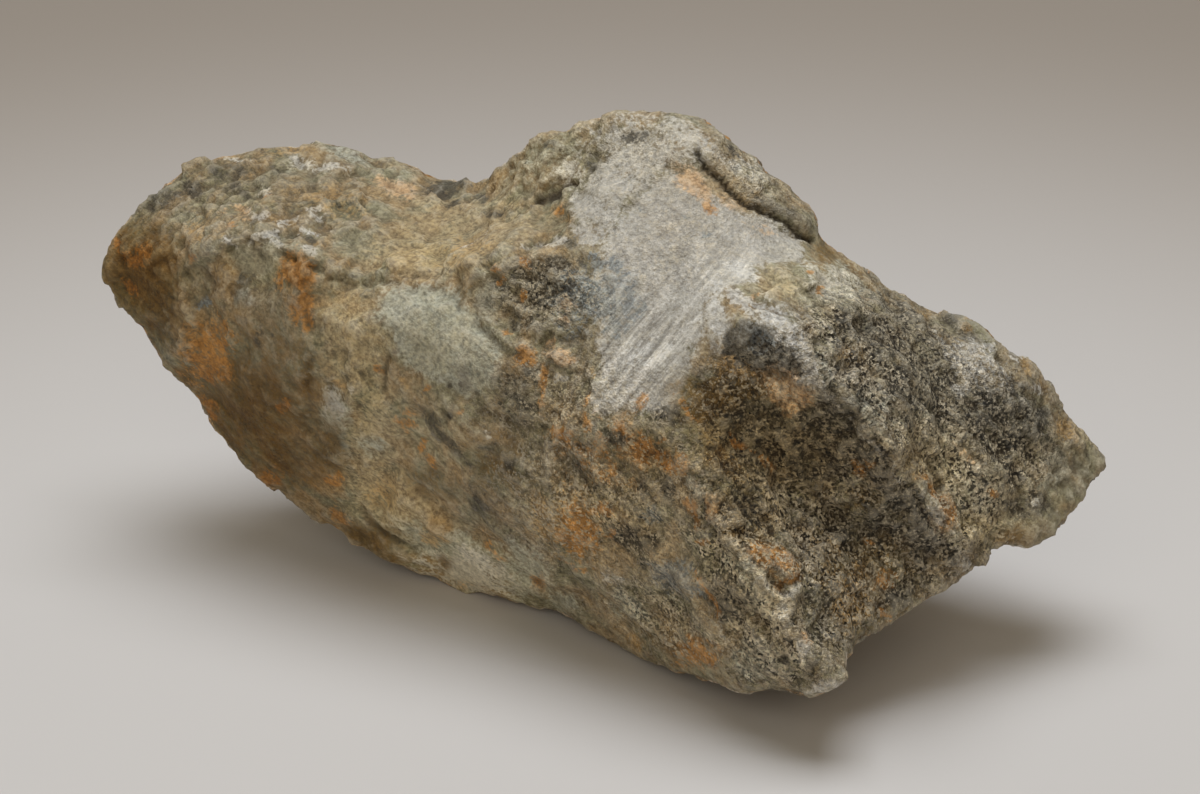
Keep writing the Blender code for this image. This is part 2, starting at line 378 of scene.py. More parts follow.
@dataclass(frozen=True)
class Groove:
    """A crack or pit in the side in sight.

    Attributes:
        route: Its course in the sight frame.
        width: Half its width in units.
        depth_mm: How deep it is cut.
        floor: The share of its width that is its floor.
    """

    route: tuple[tuple[float, float], ...]
    width: float
    depth_mm: float
    floor: float = 0.2

    def cover(self, spots: np.ndarray) -> np.ndarray:
        """How deep each spot lies in it, from 0 to 1."""
        nearest, _ = from_course(spots, np.array(self.route, float))
        return 1 - smooth_step(self.floor * self.width, self.width, nearest)


Places = dict[str, Patch | Field]


def flecks(name: str, *ovals: tuple[float, ...]) -> dict[str, Patch]:
    """Small patches in one part of the block.

    Args:
        name: The part's name.
        ovals: The numbers of each patch, from its middle to its strength.

    Returns:
        The patches, each by its own name.
    """
    return {f"{name}, {number}": Patch(*oval) for number, oval in enumerate(ovals, 1)}

PLACES: dict[Mineral, Places] = {
    Mineral.SLATE: {
        "hump, front": Patch(252, 262, 24, 17, 0, 0.95),
        "hump, below": Patch(240, 302, 14, 12, 0, 0.6),
        "corner block, left": Patch(488, 300, 11, 24, 10, 0.8),
        "flank": Patch(515, 226, 20, 12, 15, 0.6),
        "centre": Patch(522, 398, 24, 28, 0, 0.6),
        "tail": Patch(1066, 465, 34, 24, -40, 0.7),
        "right, top": Patch(838, 288, 50, 26, -25, 0.75),
        "right face": Patch(930, 385, 100, 60, -40, 0.68),
        "right, low": Patch(1000, 500, 60, 34, -40, 0.7),
        "hump, top": Patch(300, 180, 60, 24, 0, 0.6),
        "crown": Patch(545, 165, 50, 30, 20, 0.6),
        "front foot": Patch(640, 605, 30, 16, 0, 0.5),
    },
    Mineral.BUFF: {
        "saddle floor": Field(((372, 262), (366, 238), (420, 200), (468, 200), (520, 205), (548, 232),
                               (500, 246), (478, 270), (440, 282), (400, 278)), 16, 0.72),
        "saddle, light band": Patch(428, 256, 54, 13, 5),
        "belly column": Patch(376, 432, 24, 38, -8, 0.85),
        "belly column, top": Patch(350, 345, 28, 48, 0, 0.8),
        "belly, low": Patch(396, 500, 50, 30, -35, 0.85),
        "belly column, foot": Patch(366, 478, 11, 13, 0, 0.85),
        "shoulder": Patch(782, 284, 24, 15, -15, 0.6),
        "right face": Patch(912, 466, 36, 32, -35, 0.6),
        "facet's edge": Patch(702, 330, 5, 24, 10, 0.7),
        "scoop, foot": Patch(707, 432, 13, 9, 0, 0.7),
        "front": Patch(735, 512, 12, 9, -20, 0.7),
        "lip, above": Patch(832, 636, 14, 34, 0, 0.5),
        "tail, under": Patch(975, 532, 26, 12, 10, 0.7),
        "summit": Patch(612, 135, 14, 14, 0, 0.6),
        "summit, left": Patch(577, 127, 13, 8, 20, 0.6),
        "centre": Patch(580, 520, 50, 44, 30, 0.65),
        "tail, tip": Patch(1078, 436, 14, 10, -50, 0.7),
    },
    Mineral.MINT: {
        "pale face": Field(((388, 284), (432, 288), (464, 300), (484, 326), (500, 348), (498, 392),
                            (466, 398), (436, 380), (412, 372), (394, 352), (380, 318)), 12, 0.95),
        "hump, crest": Patch(345, 155, 24, 9, -10, 0.7),
        "hump, top": Patch(292, 166, 12, 7, 0, 0.7),
        "right face, top": Patch(836, 282, 36, 18, -15, 0.7),
        "belly": Patch(334, 412, 15, 22, 0, 0.75),
        "belly, low": Patch(342, 446, 9, 18, 10, 0.6),
        "belly, spot": Patch(372, 445, 12, 10, 0, 0.7),
        "flow": Patch(520, 570, 26, 30, 20, 0.9),
        "flow, upper": Patch(452, 552, 62, 20, -26, 0.8),
        "flow, left": Patch(462, 540, 16, 9, -30, 0.75),
        "flow, right": Patch(562, 606, 19, 14, -10, 0.8),
        "front, low": Patch(733, 550, 12, 18, 10, 0.65),
        "front, middle": Patch(745, 604, 42, 28, 0, 0.6),
        "lip, left": Patch(764, 660, 34, 18, 0, 0.7),
        "foot": Patch(626, 606, 26, 12, -20, 0.6),
        "tail": Patch(1050, 488, 12, 11, 0, 0.7),
        "main ridge": Patch(828, 372, 8, 36, 28, 0.6),
        "main ridge, low": Patch(884, 408, 10, 22, 30, 0.55),
        "main ridge, edge": Patch(868, 418, 6, 34, 36, 0.75),
        "main ridge, end": Patch(926, 502, 7, 44, 36, 0.75),
        "vein": Patch(700, 494, 5, 28, 30, 0.8),
        "vein, low": Patch(742, 566, 6, 36, 34, 0.8),
        "crown": Patch(560, 150, 40, 14, 25, 0.5),
    },
    Mineral.TALC: {
        "facet": Field(((590, 322), (586, 292), (598, 262), (612, 226), (640, 190), (668, 170), (700, 190),
                        (735, 205), (775, 225), (806, 243), (800, 262), (770, 268), (740, 282), (722, 292),
                        (706, 310), (698, 345), (690, 365), (678, 388), (664, 416), (640, 406), (616, 412),
                        (592, 402), (606, 380), (598, 350)), 15),
        "summit": Patch(650, 148, 66, 28, -5, 0.85),
        "crown's flank": Field(((566, 202), (590, 170), (612, 142), (650, 142), (668, 166), (640, 194),
                                (612, 230), (600, 252), (584, 246), (570, 226)), 12, 0.82),
        "right face, top": Patch(832, 284, 40, 18, -20, 0.6),
        "summit, left": Patch(572, 165, 24, 13, 40, 0.62),
        "slab": Patch(748, 170, 40, 16, -42, 0.5),
        "ridge head": Patch(716, 322, 14, 26, 10, 0.9),
        "ridge head, right": Patch(778, 318, 22, 14, -20, 0.8),
        "ridge band": Patch(800, 350, 10, 36, 34, 0.58),
        "right face": Patch(975, 362, 26, 16, -20, 0.55),
        "lip": Patch(826, 688, 26, 8, 0, 0.8),
        "front, low": Patch(617, 581, 18, 9, 0, 0.75),
        "front, tip": Patch(786, 610, 12, 10, 0, 0.75),
        "flow": Patch(468, 574, 44, 22, -12, 0.85),
        "flow, left": Patch(424, 567, 26, 7, -20, 0.75),
        "curve": Patch(721, 626, 5, 16, 10, 0.8),
        "lip, above": Patch(802, 643, 7, 11, 0, 0.85),
        "belly spot": Patch(332, 405, 11, 16, 10, 0.72),
    },
    Mineral.UMBER: {
        "nose": Patch(140, 264, 32, 40, 10, 1.1),
        # Brown stain with painted shade on the nose's lower edge, which faces away from the light.
        "nose, under": Patch(160, 302, 15, 42, 8),
        "nose, spot": Patch(172, 260, 9, 7),
        "left face": Patch(250, 395, 66, 70, -30, 0.75),
        "left foot": Patch(285, 458, 38, 30, -30, 0.65),
        "left face, column": Patch(306, 375, 8, 26, 0, 0.9),
        "left face, foot": Patch(188, 378, 14, 14, -45, 0.9),
        "left face, low": Patch(225, 440, 22, 24, -45, 0.75),
        "belly": Patch(328, 452, 18, 27, 0, 0.8),
        "belly, band": Patch(374, 548, 28, 20, -35, 0.95),
        "belly, band, end": Patch(391, 561, 9, 8),
        "belly, low": Patch(430, 484, 30, 16, -30, 0.6),
        "under the saddle": Patch(463, 300, 5, 8, 0, 0.8),
        "scoop, head": Patch(712, 396, 40, 20, -8, 0.9),
        "ridge's foot": Field(((722, 362), (752, 366), (778, 374), (776, 392), (742, 404), (704, 424),
                               (686, 410), (700, 386)), 5),
        "scoop, left": Patch(724, 460, 28, 18, -40, 0.85),
        "right, low": Patch(860, 570, 60, 60, -40, 0.65),
        "front, right": Patch(745, 520, 42, 36, -30, 0.6),
        "right, middle": Patch(862, 505, 26, 16, -40, 0.7),
        "slab's foot": Patch(822, 250, 16, 4, -45, 0.9),
        "right face": Patch(868, 355, 16, 20, -30, 0.65),
        "centre": Patch(500, 460, 45, 30, -45, 0.55),
        "front": Patch(560, 540, 40, 20, -40, 0.5),
        "flow's curve": Patch(443, 566, 9, 12, -30, 0.75),
        "front foot": Patch(660, 640, 40, 12, -30, 0.55),
        "tail, under": Patch(1015, 541, 20, 7, 0, 0.7),
    },
    Mineral.CHARCOAL: {
        "scoop": Field(((716, 408), (744, 396), (766, 392), (800, 404), (832, 396), (862, 420), (884, 456),
                        (862, 480), (822, 484), (782, 480), (742, 464), (712, 440)), 14, 0.72),
        "scoop, rim": Field(((818, 384), (846, 404), (880, 446), (914, 494), (940, 530), (920, 536),
                             (880, 490), (846, 448), (818, 412)), 7, 0.8),
        "scoop, depth": Patch(834, 446, 36, 30, -30, 0.95),
        "scoop, run": Patch(905, 500, 26, 18, -40, 0.85),
        "scoop, run, left": Patch(880, 524, 22, 20, 0, 0.8),
        "scoop, run, low": Patch(922, 544, 24, 20, -40, 0.8),
        "ridge": Field(((720, 330), (742, 318), (768, 322), (794, 346), (812, 384), (792, 376), (752, 369),
                        (722, 365)), 6, 1.1),
        "ridge, low": Patch(836, 400, 26, 12, -42, 0.75),
        "corner block, body": Field(((480, 274), (520, 258), (560, 248), (590, 250), (600, 300),
                                     (594, 352), (560, 350), (520, 330), (490, 310)), 13, 0.45),
        "ridge's edge": Patch(798, 372, 11, 30, 25, 0.9),
        "slab, top": Patch(735, 152, 12, 7, -40, 0.6),
        "slab, middle": Patch(768, 206, 22, 5, -35, 0.7),
        "slab, end": Patch(792, 212, 9, 7, 0, 0.7),
        **flecks("right face", (845, 318, 12, 8, 0, 0.85), (885, 305, 18, 5, -45, 0.75),
                 (905, 332, 18, 5, -50, 0.75), (915, 366, 14, 6, -60, 0.75), (963, 338, 10, 6, 0, 0.75),
                 (955, 318, 7, 5, 0, 0.75), (1020, 386, 11, 7, 0, 0.8), (1040, 416, 11, 9, 0, 0.8),
                 (980, 424, 14, 8, -40, 0.85), (990, 456, 9, 7, 0, 0.8), (944, 420, 11, 5, -35, 0.75),
                 (1010, 468, 12, 12, 0, 0.8)),
        "right face, wash": Patch(925, 362, 84, 48, -40, 0.66),
        "right face, dark": Patch(872, 330, 34, 20, -40, 0.8),
        "right face, dark 2": Patch(1000, 420, 50, 34, -40, 0.7),
        "right face, dark 3": Patch(900, 385, 28, 14, -40, 0.75),
        "tail, low": Patch(1025, 506, 27, 15, 10, 0.85),
        "corner block": Patch(560, 292, 40, 26, -15, 0.85),
        "corner block, top": Patch(561, 261, 15, 10, 0, 0.8),
        "corner block, edge": Patch(573, 242, 9, 5, 0, 0.8),
        "corner block, chip": Patch(514, 327, 6, 5),
        "corner block, chip 2": Patch(511, 279, 5, 4),
        # Painted shadow under the little ledge over the pit.
        "pit": Patch(560, 191, 16, 6, 20, 0.9),
        "pit, left": Patch(535, 202, 9, 5, 20, 0.7),
        "saddle's rim": Patch(450, 185, 25, 9, 0, 0.85),
        "saddle's rim, right": Patch(482, 195, 8, 6, 0, 0.75),
        "saddle's floor": Patch(455, 207, 8, 5, 0, 0.7),
        "saddle's floor, right": Patch(492, 213, 8, 5, 0, 0.7),
        **flecks("hump", (195, 190, 11, 7, 20, 0.75), (246, 281, 12, 6, 30, 0.75),
                 (235, 190, 11, 6, 0, 0.7), (168, 202, 18, 10, 20, 0.65), (305, 240, 13, 4, -30, 0.75),
                 (205, 300, 9, 8, 0, 0.7), (260, 335, 6, 10, 0, 0.7)),
        "hump, top": Patch(230, 172, 30, 8, 0, 0.55),
        "pale face, spot": Patch(445, 383, 4, 5),
        "pale face, spots": Patch(462, 380, 9, 11, 0, 0.65),
        **flecks("centre", (612, 438, 13, 8, 0, 0.75), (580, 465, 11, 10, 0, 0.75),
                 (595, 486, 6, 16, 30, 0.75), (640, 488, 11, 12, 0, 0.75), (670, 490, 11, 10, 0, 0.7),
                 (541, 438, 8, 4, 0, 0.75), (505, 465, 6, 6, 0, 0.7), (489, 445, 12, 5, 0, 0.65)),
        "centre, wash": Patch(520, 400, 26, 30, 0, 0.55),
        "belly, diagonal": Patch(446, 436, 42, 6, -48, 0.85),
        "belly, crack": Patch(447, 416, 5, 4),
        "facet's grains": Patch(668, 416, 14, 9, 0, 0.7),
        **flecks("summit", (595, 165, 8, 6, 30, 0.7), (550, 150, 9, 6, 30, 0.7),
                 (642, 135, 18, 5, 0, 0.65)),
        **flecks("front", (628, 537, 23, 12, -20, 0.8), (645, 562, 7, 6, 0, 0.8),
                 (748, 505, 24, 15, -30, 0.7)),
        "front, granular": Patch(725, 597, 26, 21, -30, 0.85),
        "front, vein": Patch(708, 508, 4, 23, 20, 0.85),
        **flecks("lip", (785, 660, 6, 5), (810, 665, 6, 5)),
        "flow, dark": Patch(480, 500, 11, 18, 30, 0.7),
        "right, low 1": Patch(850, 530, 26, 18, -40, 0.65),
        "right, low 2": Patch(900, 590, 30, 14, 30, 0.6),
        "ridge's foot": Patch(952, 565, 9, 10, 0, 0.75),
    },
    Mineral.BLUE: {
        "facet, wash": Patch(612, 302, 26, 34, 8, 0.78),
        **flecks("facet", (610, 260, 7, 5), (596, 262, 5, 5), (605, 275, 6, 5), (612, 296, 7, 6),
                 (611, 319, 6, 10), (588, 285, 6, 8, 0, 0.8), (622, 302, 4, 5), (603, 310, 4, 6),
                 (616, 336, 4, 4, 0, 0.95), (601, 332, 4, 5, 0, 0.95), (640, 212, 6, 4, 0, 0.6),
                 (630, 290, 6, 4, 0, 0.8), (626, 322, 5, 7, 0, 0.8), (640, 306, 6, 5, 0, 0.7),
                 (622, 272, 4, 4, 0, 0.8), (685, 213, 6, 4, 0, 0.6), (708, 236, 8, 4, 0, 0.6)),
        "corner block": Patch(572, 302, 22, 30, 0, 0.72),
        "ridge": Patch(760, 335, 24, 14, -30, 0.6),
        "hump": Patch(205, 302, 9, 8, 0, 0.6),
        "tail": Patch(938, 512, 9, 18, 0, 0.6),
        "front": Patch(650, 513, 11, 8, 0, 0.7),
        "front, low": Patch(678, 580, 28, 18, -20, 0.7),
    },
    Mineral.TAN: {
        "cheek": Patch(205, 341, 12, 9, 0, 0.9),
        "ridge's band": Patch(730, 367, 32, 11, -8, 0.85),
        "belly": Patch(385, 490, 16, 14, 0, 0.7),
        "belly, strong": Patch(438, 530, 14, 15, -30, 0.95),
        "belly, spot": Patch(338, 385, 8, 6, 0, 0.7),
        "seam": Patch(403, 382, 4, 12, 0, 0.7),
        "flow": Patch(465, 585, 11, 6, -20, 0.8),
        "centre": Patch(588, 374, 6, 7, 0, 0.8),
        "front": Patch(565, 520, 30, 40, 20, 0.55),
        "front, low": Patch(635, 645, 11, 6, -20, 0.8),
        **flecks("right face", (928, 312, 7, 5, 0, 0.8), (1025, 365, 8, 5, -40, 0.95),
                 (968, 325, 6, 4, 0, 0.8), (1065, 428, 8, 6, -40, 0.8), (850, 352, 12, 10, 0, 0.55)),
        "right, low": Patch(850, 600, 26, 36, -20, 0.55),
        "flank": Patch(565, 218, 8, 4, 0, 0.75),
        "hump, top": Patch(330, 200, 46, 18, -10, 0.5),
        "hump, crest": Patch(280, 152, 30, 8, 0, 0.5),
        "left edge": Patch(200, 230, 24, 20, 0, 0.45),
        "saddle": Patch(470, 250, 30, 12, 20, 0.6),
    },
    Mineral.RUST: {
        "nose": Patch(141, 258, 16, 13, 0, 0.75),
        "nose, edge": Patch(118, 246, 5, 5, 0, 0.85),
        "nose, low": Patch(129, 290, 6, 6, 0, 0.7),
        "cheek": Patch(207, 352, 24, 30, -20, 0.8),
        "cheek, top": Patch(196, 262, 6, 5, 0, 0.75),
        "hump": Patch(297, 273, 17, 19),
        "hump, under": Patch(300, 308, 12, 20, 0, 0.8),
        "hump, thread": Patch(226, 228, 9, 3, 0, 0.75),
        "hump, fleck": Patch(265, 196, 6, 4, 0, 0.85),
        "left face, foot": Patch(285, 402, 7, 8, 0, 0.7),
        "left face, streak": Patch(212, 408, 14, 5, -60, 0.85),
        **flecks("corner block", (492, 268, 7, 5, 0, 0.85), (497, 280, 5, 4, 0, 0.85),
                 (528, 263, 5, 8, 20, 0.9), (505, 335, 6, 4, 0, 0.8), (520, 292, 5, 4, 0, 0.8)),
        "pale face, edge": Patch(382, 366, 4, 5, 0, 0.8),
        "seam": Patch(425, 390, 6, 5, 0, 0.8),
        **flecks("belly", (460, 415, 7, 5, 0, 0.85), (421, 445, 4, 5, 0, 0.8), (429, 461, 5, 7, 0, 0.8),
                 (273, 477, 12, 8, -30, 0.9), (331, 481, 9, 7, 0, 0.85), (339, 519, 12, 8, -30, 0.9),
                 (410, 420, 12, 12, 0, 0.5)),
        **flecks("centre", (546, 392, 6, 19, 0, 0.85), (525, 360, 11, 10), (586, 397, 5, 8, 0, 0.85),
                 (602, 410, 4, 6, 0, 0.85), (588, 422, 6, 11, 0, 0.9), (641, 402, 8, 7, 0, 0.9),
                 (617, 428, 9, 4, 0, 0.85), (562, 435, 9, 5, 0, 0.8)),
        "middle": Patch(641, 450, 11, 21, 0, 0.95),
        "middle, top": Patch(654, 435, 5, 5, 0, 0.9),
        "middle, right": Patch(662, 453, 8, 6),
        "middle, run": Patch(676, 466, 16, 10, -30, 0.85),
        "facet's foot": Patch(688, 408, 20, 5, -50, 0.75),
        "front, spot": Patch(604, 510, 8, 6),
        "front": Patch(577, 530, 22, 28, 20, 0.7),
        "front, core": Patch(590, 532, 10, 18, 20, 0.85),
        "front, fleck": Patch(612, 535, 5, 4, 0, 0.9),
        "front, streak": Patch(692, 513, 15, 5, -55, 0.95),
        "front, streak end": Patch(706, 541, 7, 5, 0, 0.85),
        "front, right": Patch(772, 560, 26, 13, -10, 0.8),
        "front, right core": Patch(778, 563, 9, 6),
        "front, right low": Patch(788, 582, 13, 7, 0, 0.85),
        "front, curve": Patch(708, 590, 26, 3, -68, 0.85),
        "foot": Patch(695, 652, 19, 16, -30, 0.8),
        "foot, core": Patch(703, 655, 12, 9, -30),
        "foot, line": Patch(578, 565, 18, 4, -15, 0.7),
        "lip": Patch(808, 638, 8, 7, 0, 0.7),
        "flow line": Patch(492, 545, 20, 4, -50, 0.75),
        "flow": Patch(536, 585, 8, 10, 0, 0.8),
        "scoop, diagonal": Patch(748, 450, 30, 4, -42, 0.8),
        "scoop, run": Patch(860, 468, 10, 11, 0, 0.6),
        "right, fleck": Patch(868, 544, 5, 4, 0, 0.85),
        "right, low": Patch(885, 580, 15, 9, 30, 0.7),
        "right, low 2": Patch(885, 612, 5, 7, 0, 0.7),
        "tail, patch": Patch(947, 513, 12, 18, -10, 0.8),
        "tail, core": Patch(948, 505, 10, 5),
        "tail, fleck": Patch(990, 490, 6, 5, 0, 0.75),
        **flecks("shoulder", (757, 293, 4, 3, 0, 0.9), (805, 275, 4, 3, 0, 0.9),
                 (820, 295, 4, 3, 0, 0.9)),
        "under the slab": Patch(708, 205, 9, 5, -40, 0.85),
        "ridge, core": Patch(800, 395, 6, 8, 0, 0.9),
        "main ridge": Patch(930, 492, 5, 26, 36, 0.7),
        "flank": Patch(555, 208, 6, 5, 0, 0.75),
        "centre, wash": Patch(600, 450, 60, 50, 0, 0.42),
    },
    Mineral.PEACH: {
        "under the slab": Patch(692, 184, 24, 9, -38, 0.9),
        "under the slab, right": Patch(735, 204, 14, 6, -30, 0.75),
        "ridge": Patch(788, 389, 23, 17, -30, 1.05),
        "saddle's back": Patch(395, 188, 20, 8, -20, 0.85),
        "centre": Patch(562, 358, 18, 7, 0, 0.9),
        "front": Patch(697, 484, 7, 6, 0, 0.8),
        "front, right": Patch(712, 502, 8, 17, 15, 0.8),
        "hump": Patch(240, 213, 16, 6, 0, 0.6),
        "foot": Patch(808, 637, 9, 8, 0, 0.7),
        "right face": Patch(968, 460, 18, 3, -48, 0.8),
        "corner block": Patch(550, 345, 6, 5, 0, 0.8),
        "corner block, low": Patch(565, 310, 13, 18, 0, 0.5),
        "slab": Patch(762, 232, 20, 5, -30, 0.5),
    },
    Mineral.FROST: {
        # Painted highlight along the lit edge of the hump's ledge.
        "hump, line": Patch(270, 234, 33, 4, 21, 0.8),
        **flecks("hump", (275, 246, 8, 5, 0, 0.6), (300, 163, 13, 5, 0, 0.7),
                 (328, 171, 23, 4, -5, 0.75), (315, 212, 9, 5, 0, 0.8), (308, 232, 7, 4, 0, 0.85),
                 (235, 155, 14, 3, -20, 0.8), (258, 215, 8, 5, 0, 0.75), (312, 252, 7, 5, 0, 0.8),
                 (262, 190, 8, 4, 0, 0.8), (226, 240, 9, 4, -30, 0.8)),
        # Painted highlight along the lit top edge of the corner block.
        "corner block, line": Patch(547, 240, 24, 3, 5, 0.9),
        **flecks("facet", (740, 270, 16, 6, -15, 0.9), (715, 296, 6, 11, 0, 0.85)),
        "facet, tip": Patch(602, 394, 12, 10, 20, 0.95),
        "facet, line": Patch(652, 352, 48, 4, 52, 0.8),
        "facet, line 2": Patch(628, 368, 40, 3, 52, 0.8),
        "facet, line 3": Patch(678, 340, 44, 3, 50, 0.75),
        **flecks("ridge", (716, 318, 8, 18, 0, 0.95), (784, 328, 9, 34, 32), (812, 370, 8, 26, 34, 0.85)),
        "ridge, top": Patch(742, 300, 20, 6, -10, 0.85),
        "ridge, side": Patch(752, 312, 12, 7, -30, 0.7),
        "main ridge": Patch(858, 428, 4, 44, 40, 0.62),
        "main ridge, low": Patch(930, 508, 4, 34, 38, 0.62),
        "right face, wash": Patch(975, 365, 36, 18, -30, 0.6),
        **flecks("right face", (968, 360, 13, 9, -20, 0.9), (960, 386, 8, 6, 0, 0.85),
                 (935, 335, 13, 4, -50, 0.85), (990, 345, 8, 5, -30, 0.85), (1015, 360, 8, 5, -30, 0.85),
                 (1035, 390, 7, 5, -30, 0.85), (895, 470, 5, 14, 20, 0.65)),
        "pale face, edge": Patch(355, 389, 6, 4, 0, 0.85),
        **flecks("centre", (565, 380, 9, 4, 0, 0.75), (490, 434, 5, 4, 0, 0.9)),
        **flecks("front", (762, 583, 8, 7, 0, 0.8), (792, 593, 8, 5, 0, 0.8), (786, 611, 10, 6, 0, 0.9)),
        **flecks("lip", (801, 645, 6, 10, 0, 0.85), (826, 690, 24, 5, 0, 0.7)),
        "tail": Patch(1032, 503, 5, 4),
        "ridge's foot": Patch(965, 566, 9, 8, 0, 0.7),
        "flow": Patch(480, 566, 26, 4, -45, 0.7),
        "flow, left": Patch(424, 566, 24, 4, -20, 0.7),
    },
}

GRAINS: Places = {
    "right": Field(((704, 366), (772, 318), (846, 282), (930, 310), (1010, 360), (1066, 450), (1004, 550),
                    (940, 600), (860, 640), (840, 700), (740, 690), (700, 600), (660, 500),
                    (690, 420)), 34),
    "mid rust": Patch(645, 450, 50, 36),
    "corner block": Patch(548, 295, 50, 34, -10, 1.05),
    "centre": Patch(600, 500, 100, 80, -40),
    "middle": Patch(560, 400, 80, 50, 0, 0.85),
    "foot": Patch(660, 610, 90, 40, -30, 0.9),
    "facet": Patch(670, 240, 90, 70, 0, 0.42),
    "summit": Patch(640, 150, 90, 40, 0, 0.4),
    "slab": Patch(750, 180, 60, 24, -42, 0.75),
    "hump": Patch(220, 200, 110, 50, 0, 0.25),
    "facet's foot": Patch(664, 418, 26, 14, 0, 0.9),
}

# Bleach and painted light: pale washes, partly real bleaching and partly painted light, most of all the light
# thrown up by the floor onto the lower front faces.
BLEACH_AND_PAINTED_LIGHT: Places = {
    "flow": Patch(460, 572, 90, 34, -12, 0.9),
    "belly, low": Patch(390, 505, 60, 34, -35, 0.65),
    "belly": Patch(445, 435, 60, 44, 0, 0.35),
    "low front": Patch(735, 600, 60, 50, -40, 0.55),
    "foot": Patch(660, 620, 90, 34, -20, 0.42),
    "front": Patch(610, 520, 80, 54, -30, 0.58),
    "left, middle": Patch(350, 350, 44, 60, 0, 0.3),
    "cheek": Patch(210, 345, 30, 40, -20, 0.35),
    "slab": Patch(755, 185, 50, 24, -42, 0.3),
    "pale face": Patch(445, 340, 60, 60, 0, 0.2),
    "right, top": Patch(840, 290, 60, 30, -25, 0.45),
    "right, low": Patch(945, 465, 56, 44, -40, 0.65),
    "right, middle": Patch(915, 360, 60, 40, -40, 0.4),
    "far right": Patch(1010, 480, 60, 44, -40, 0.5),
    "tail": Patch(1060, 470, 50, 40, -40, 0.3),
    "tail, under": Patch(995, 522, 46, 20, 0, 0.85),
    "crown": Patch(540, 168, 44, 34, 20, 0.65),
    "centre": Patch(545, 405, 60, 34, 0, 0.42),
    "corner block": Patch(545, 300, 60, 40, 0, 0.5),
    "middle": Patch(645, 450, 40, 30, 0, 0.35),
    "scoop": Patch(780, 440, 80, 40, -15, 0.68),
    "low right": Patch(880, 560, 70, 50, -40, 0.35),
    "front, right": Patch(752, 532, 54, 40, -20, 0.28),
    "summit": Patch(640, 146, 66, 30, 0, 0.2),
    "hump, top": Patch(280, 185, 80, 30, 0, 0.1),
    "hump's slate": Patch(253, 264, 26, 17, 0, 0.95),
    "saddle's band": Patch(425, 257, 48, 10, 4, 0.46),
    "column": Patch(366, 400, 20, 60, -6, 0.45),
    "shoulder": Patch(776, 284, 40, 14, -14, 0.34),
    "lip": Patch(790, 660, 60, 30, 0, 0.15),
}

# Grime and painted shade: brown washes, partly real staining and partly painted shade on faces turned from
# the light, under the brow, on the nose and in the scoop.
GRIME_AND_PAINTED_SHADE: Places = {
    "cheek": Patch(205, 345, 34, 44, -20, 0.25),
    "left face": Patch(255, 430, 66, 56, -30, 0.8),
    "hump, top": Patch(270, 190, 90, 36, 0, 0.35),
    "saddle, right": Patch(530, 228, 50, 24, 0, 0.3),
    "left, middle": Patch(350, 370, 50, 70, 0, 0.15),
    "pale face": Patch(445, 340, 50, 50, 0, 0.15),
    "scoop's foot": Patch(740, 486, 60, 44, -35, 0.5),
    "scoop, left": Patch(722, 446, 38, 40, -30, 0.7),
    "under the brow": Patch(338, 300, 34, 22, 0, 0.42),
    "brow": Patch(322, 258, 40, 10, -10, 0.35),
    "hump's orange": Patch(298, 276, 17, 20, 0, 0.75),
    "facet, top": Patch(672, 216, 54, 36, -20, 0.18),
    "front, right": Patch(750, 530, 46, 34, -20, 0.3),
    "nose": Patch(138, 275, 44, 50, 0, 1.1),
    "scoop": Patch(770, 440, 90, 50, -20, 0.5),
    "saddle": Patch(420, 235, 60, 44, 0, 0.35),
    "left foot": Patch(285, 470, 50, 34, -30, 0.5),
    "middle": Patch(650, 455, 44, 34, 0, 0.5),
    "front": Patch(620, 530, 60, 40, -30, 0.25),
    "low front": Patch(745, 590, 60, 50, -40, 0.2),
    "lip": Patch(790, 660, 60, 30, 0, 0.2),
    "foot": Patch(670, 630, 70, 30, -25, 0.1),
}

ROUGH: Places = {
    "right": Field(((715, 300), (830, 262), (930, 300), (1030, 350), (1110, 450), (1020, 550), (940, 600),
                    (860, 640), (840, 700), (760, 690), (720, 560), (700, 400)), 30),
    "crown": Patch(560, 170, 90, 40, 15, 1.7),
    "hump": Patch(250, 205, 140, 56, 5, 1.8),
    "saddle's rim": Patch(458, 186, 50, 18, 0, 1.8),
    "corner block": Patch(535, 300, 60, 44, -10, 1.5),
    "brow": Patch(370, 272, 90, 18, -4, 1.5),
    "slab": Patch(755, 190, 60, 30, -42, 0.7),
    "under the corner block": Patch(560, 400, 60, 40, 0, 0.7),
}

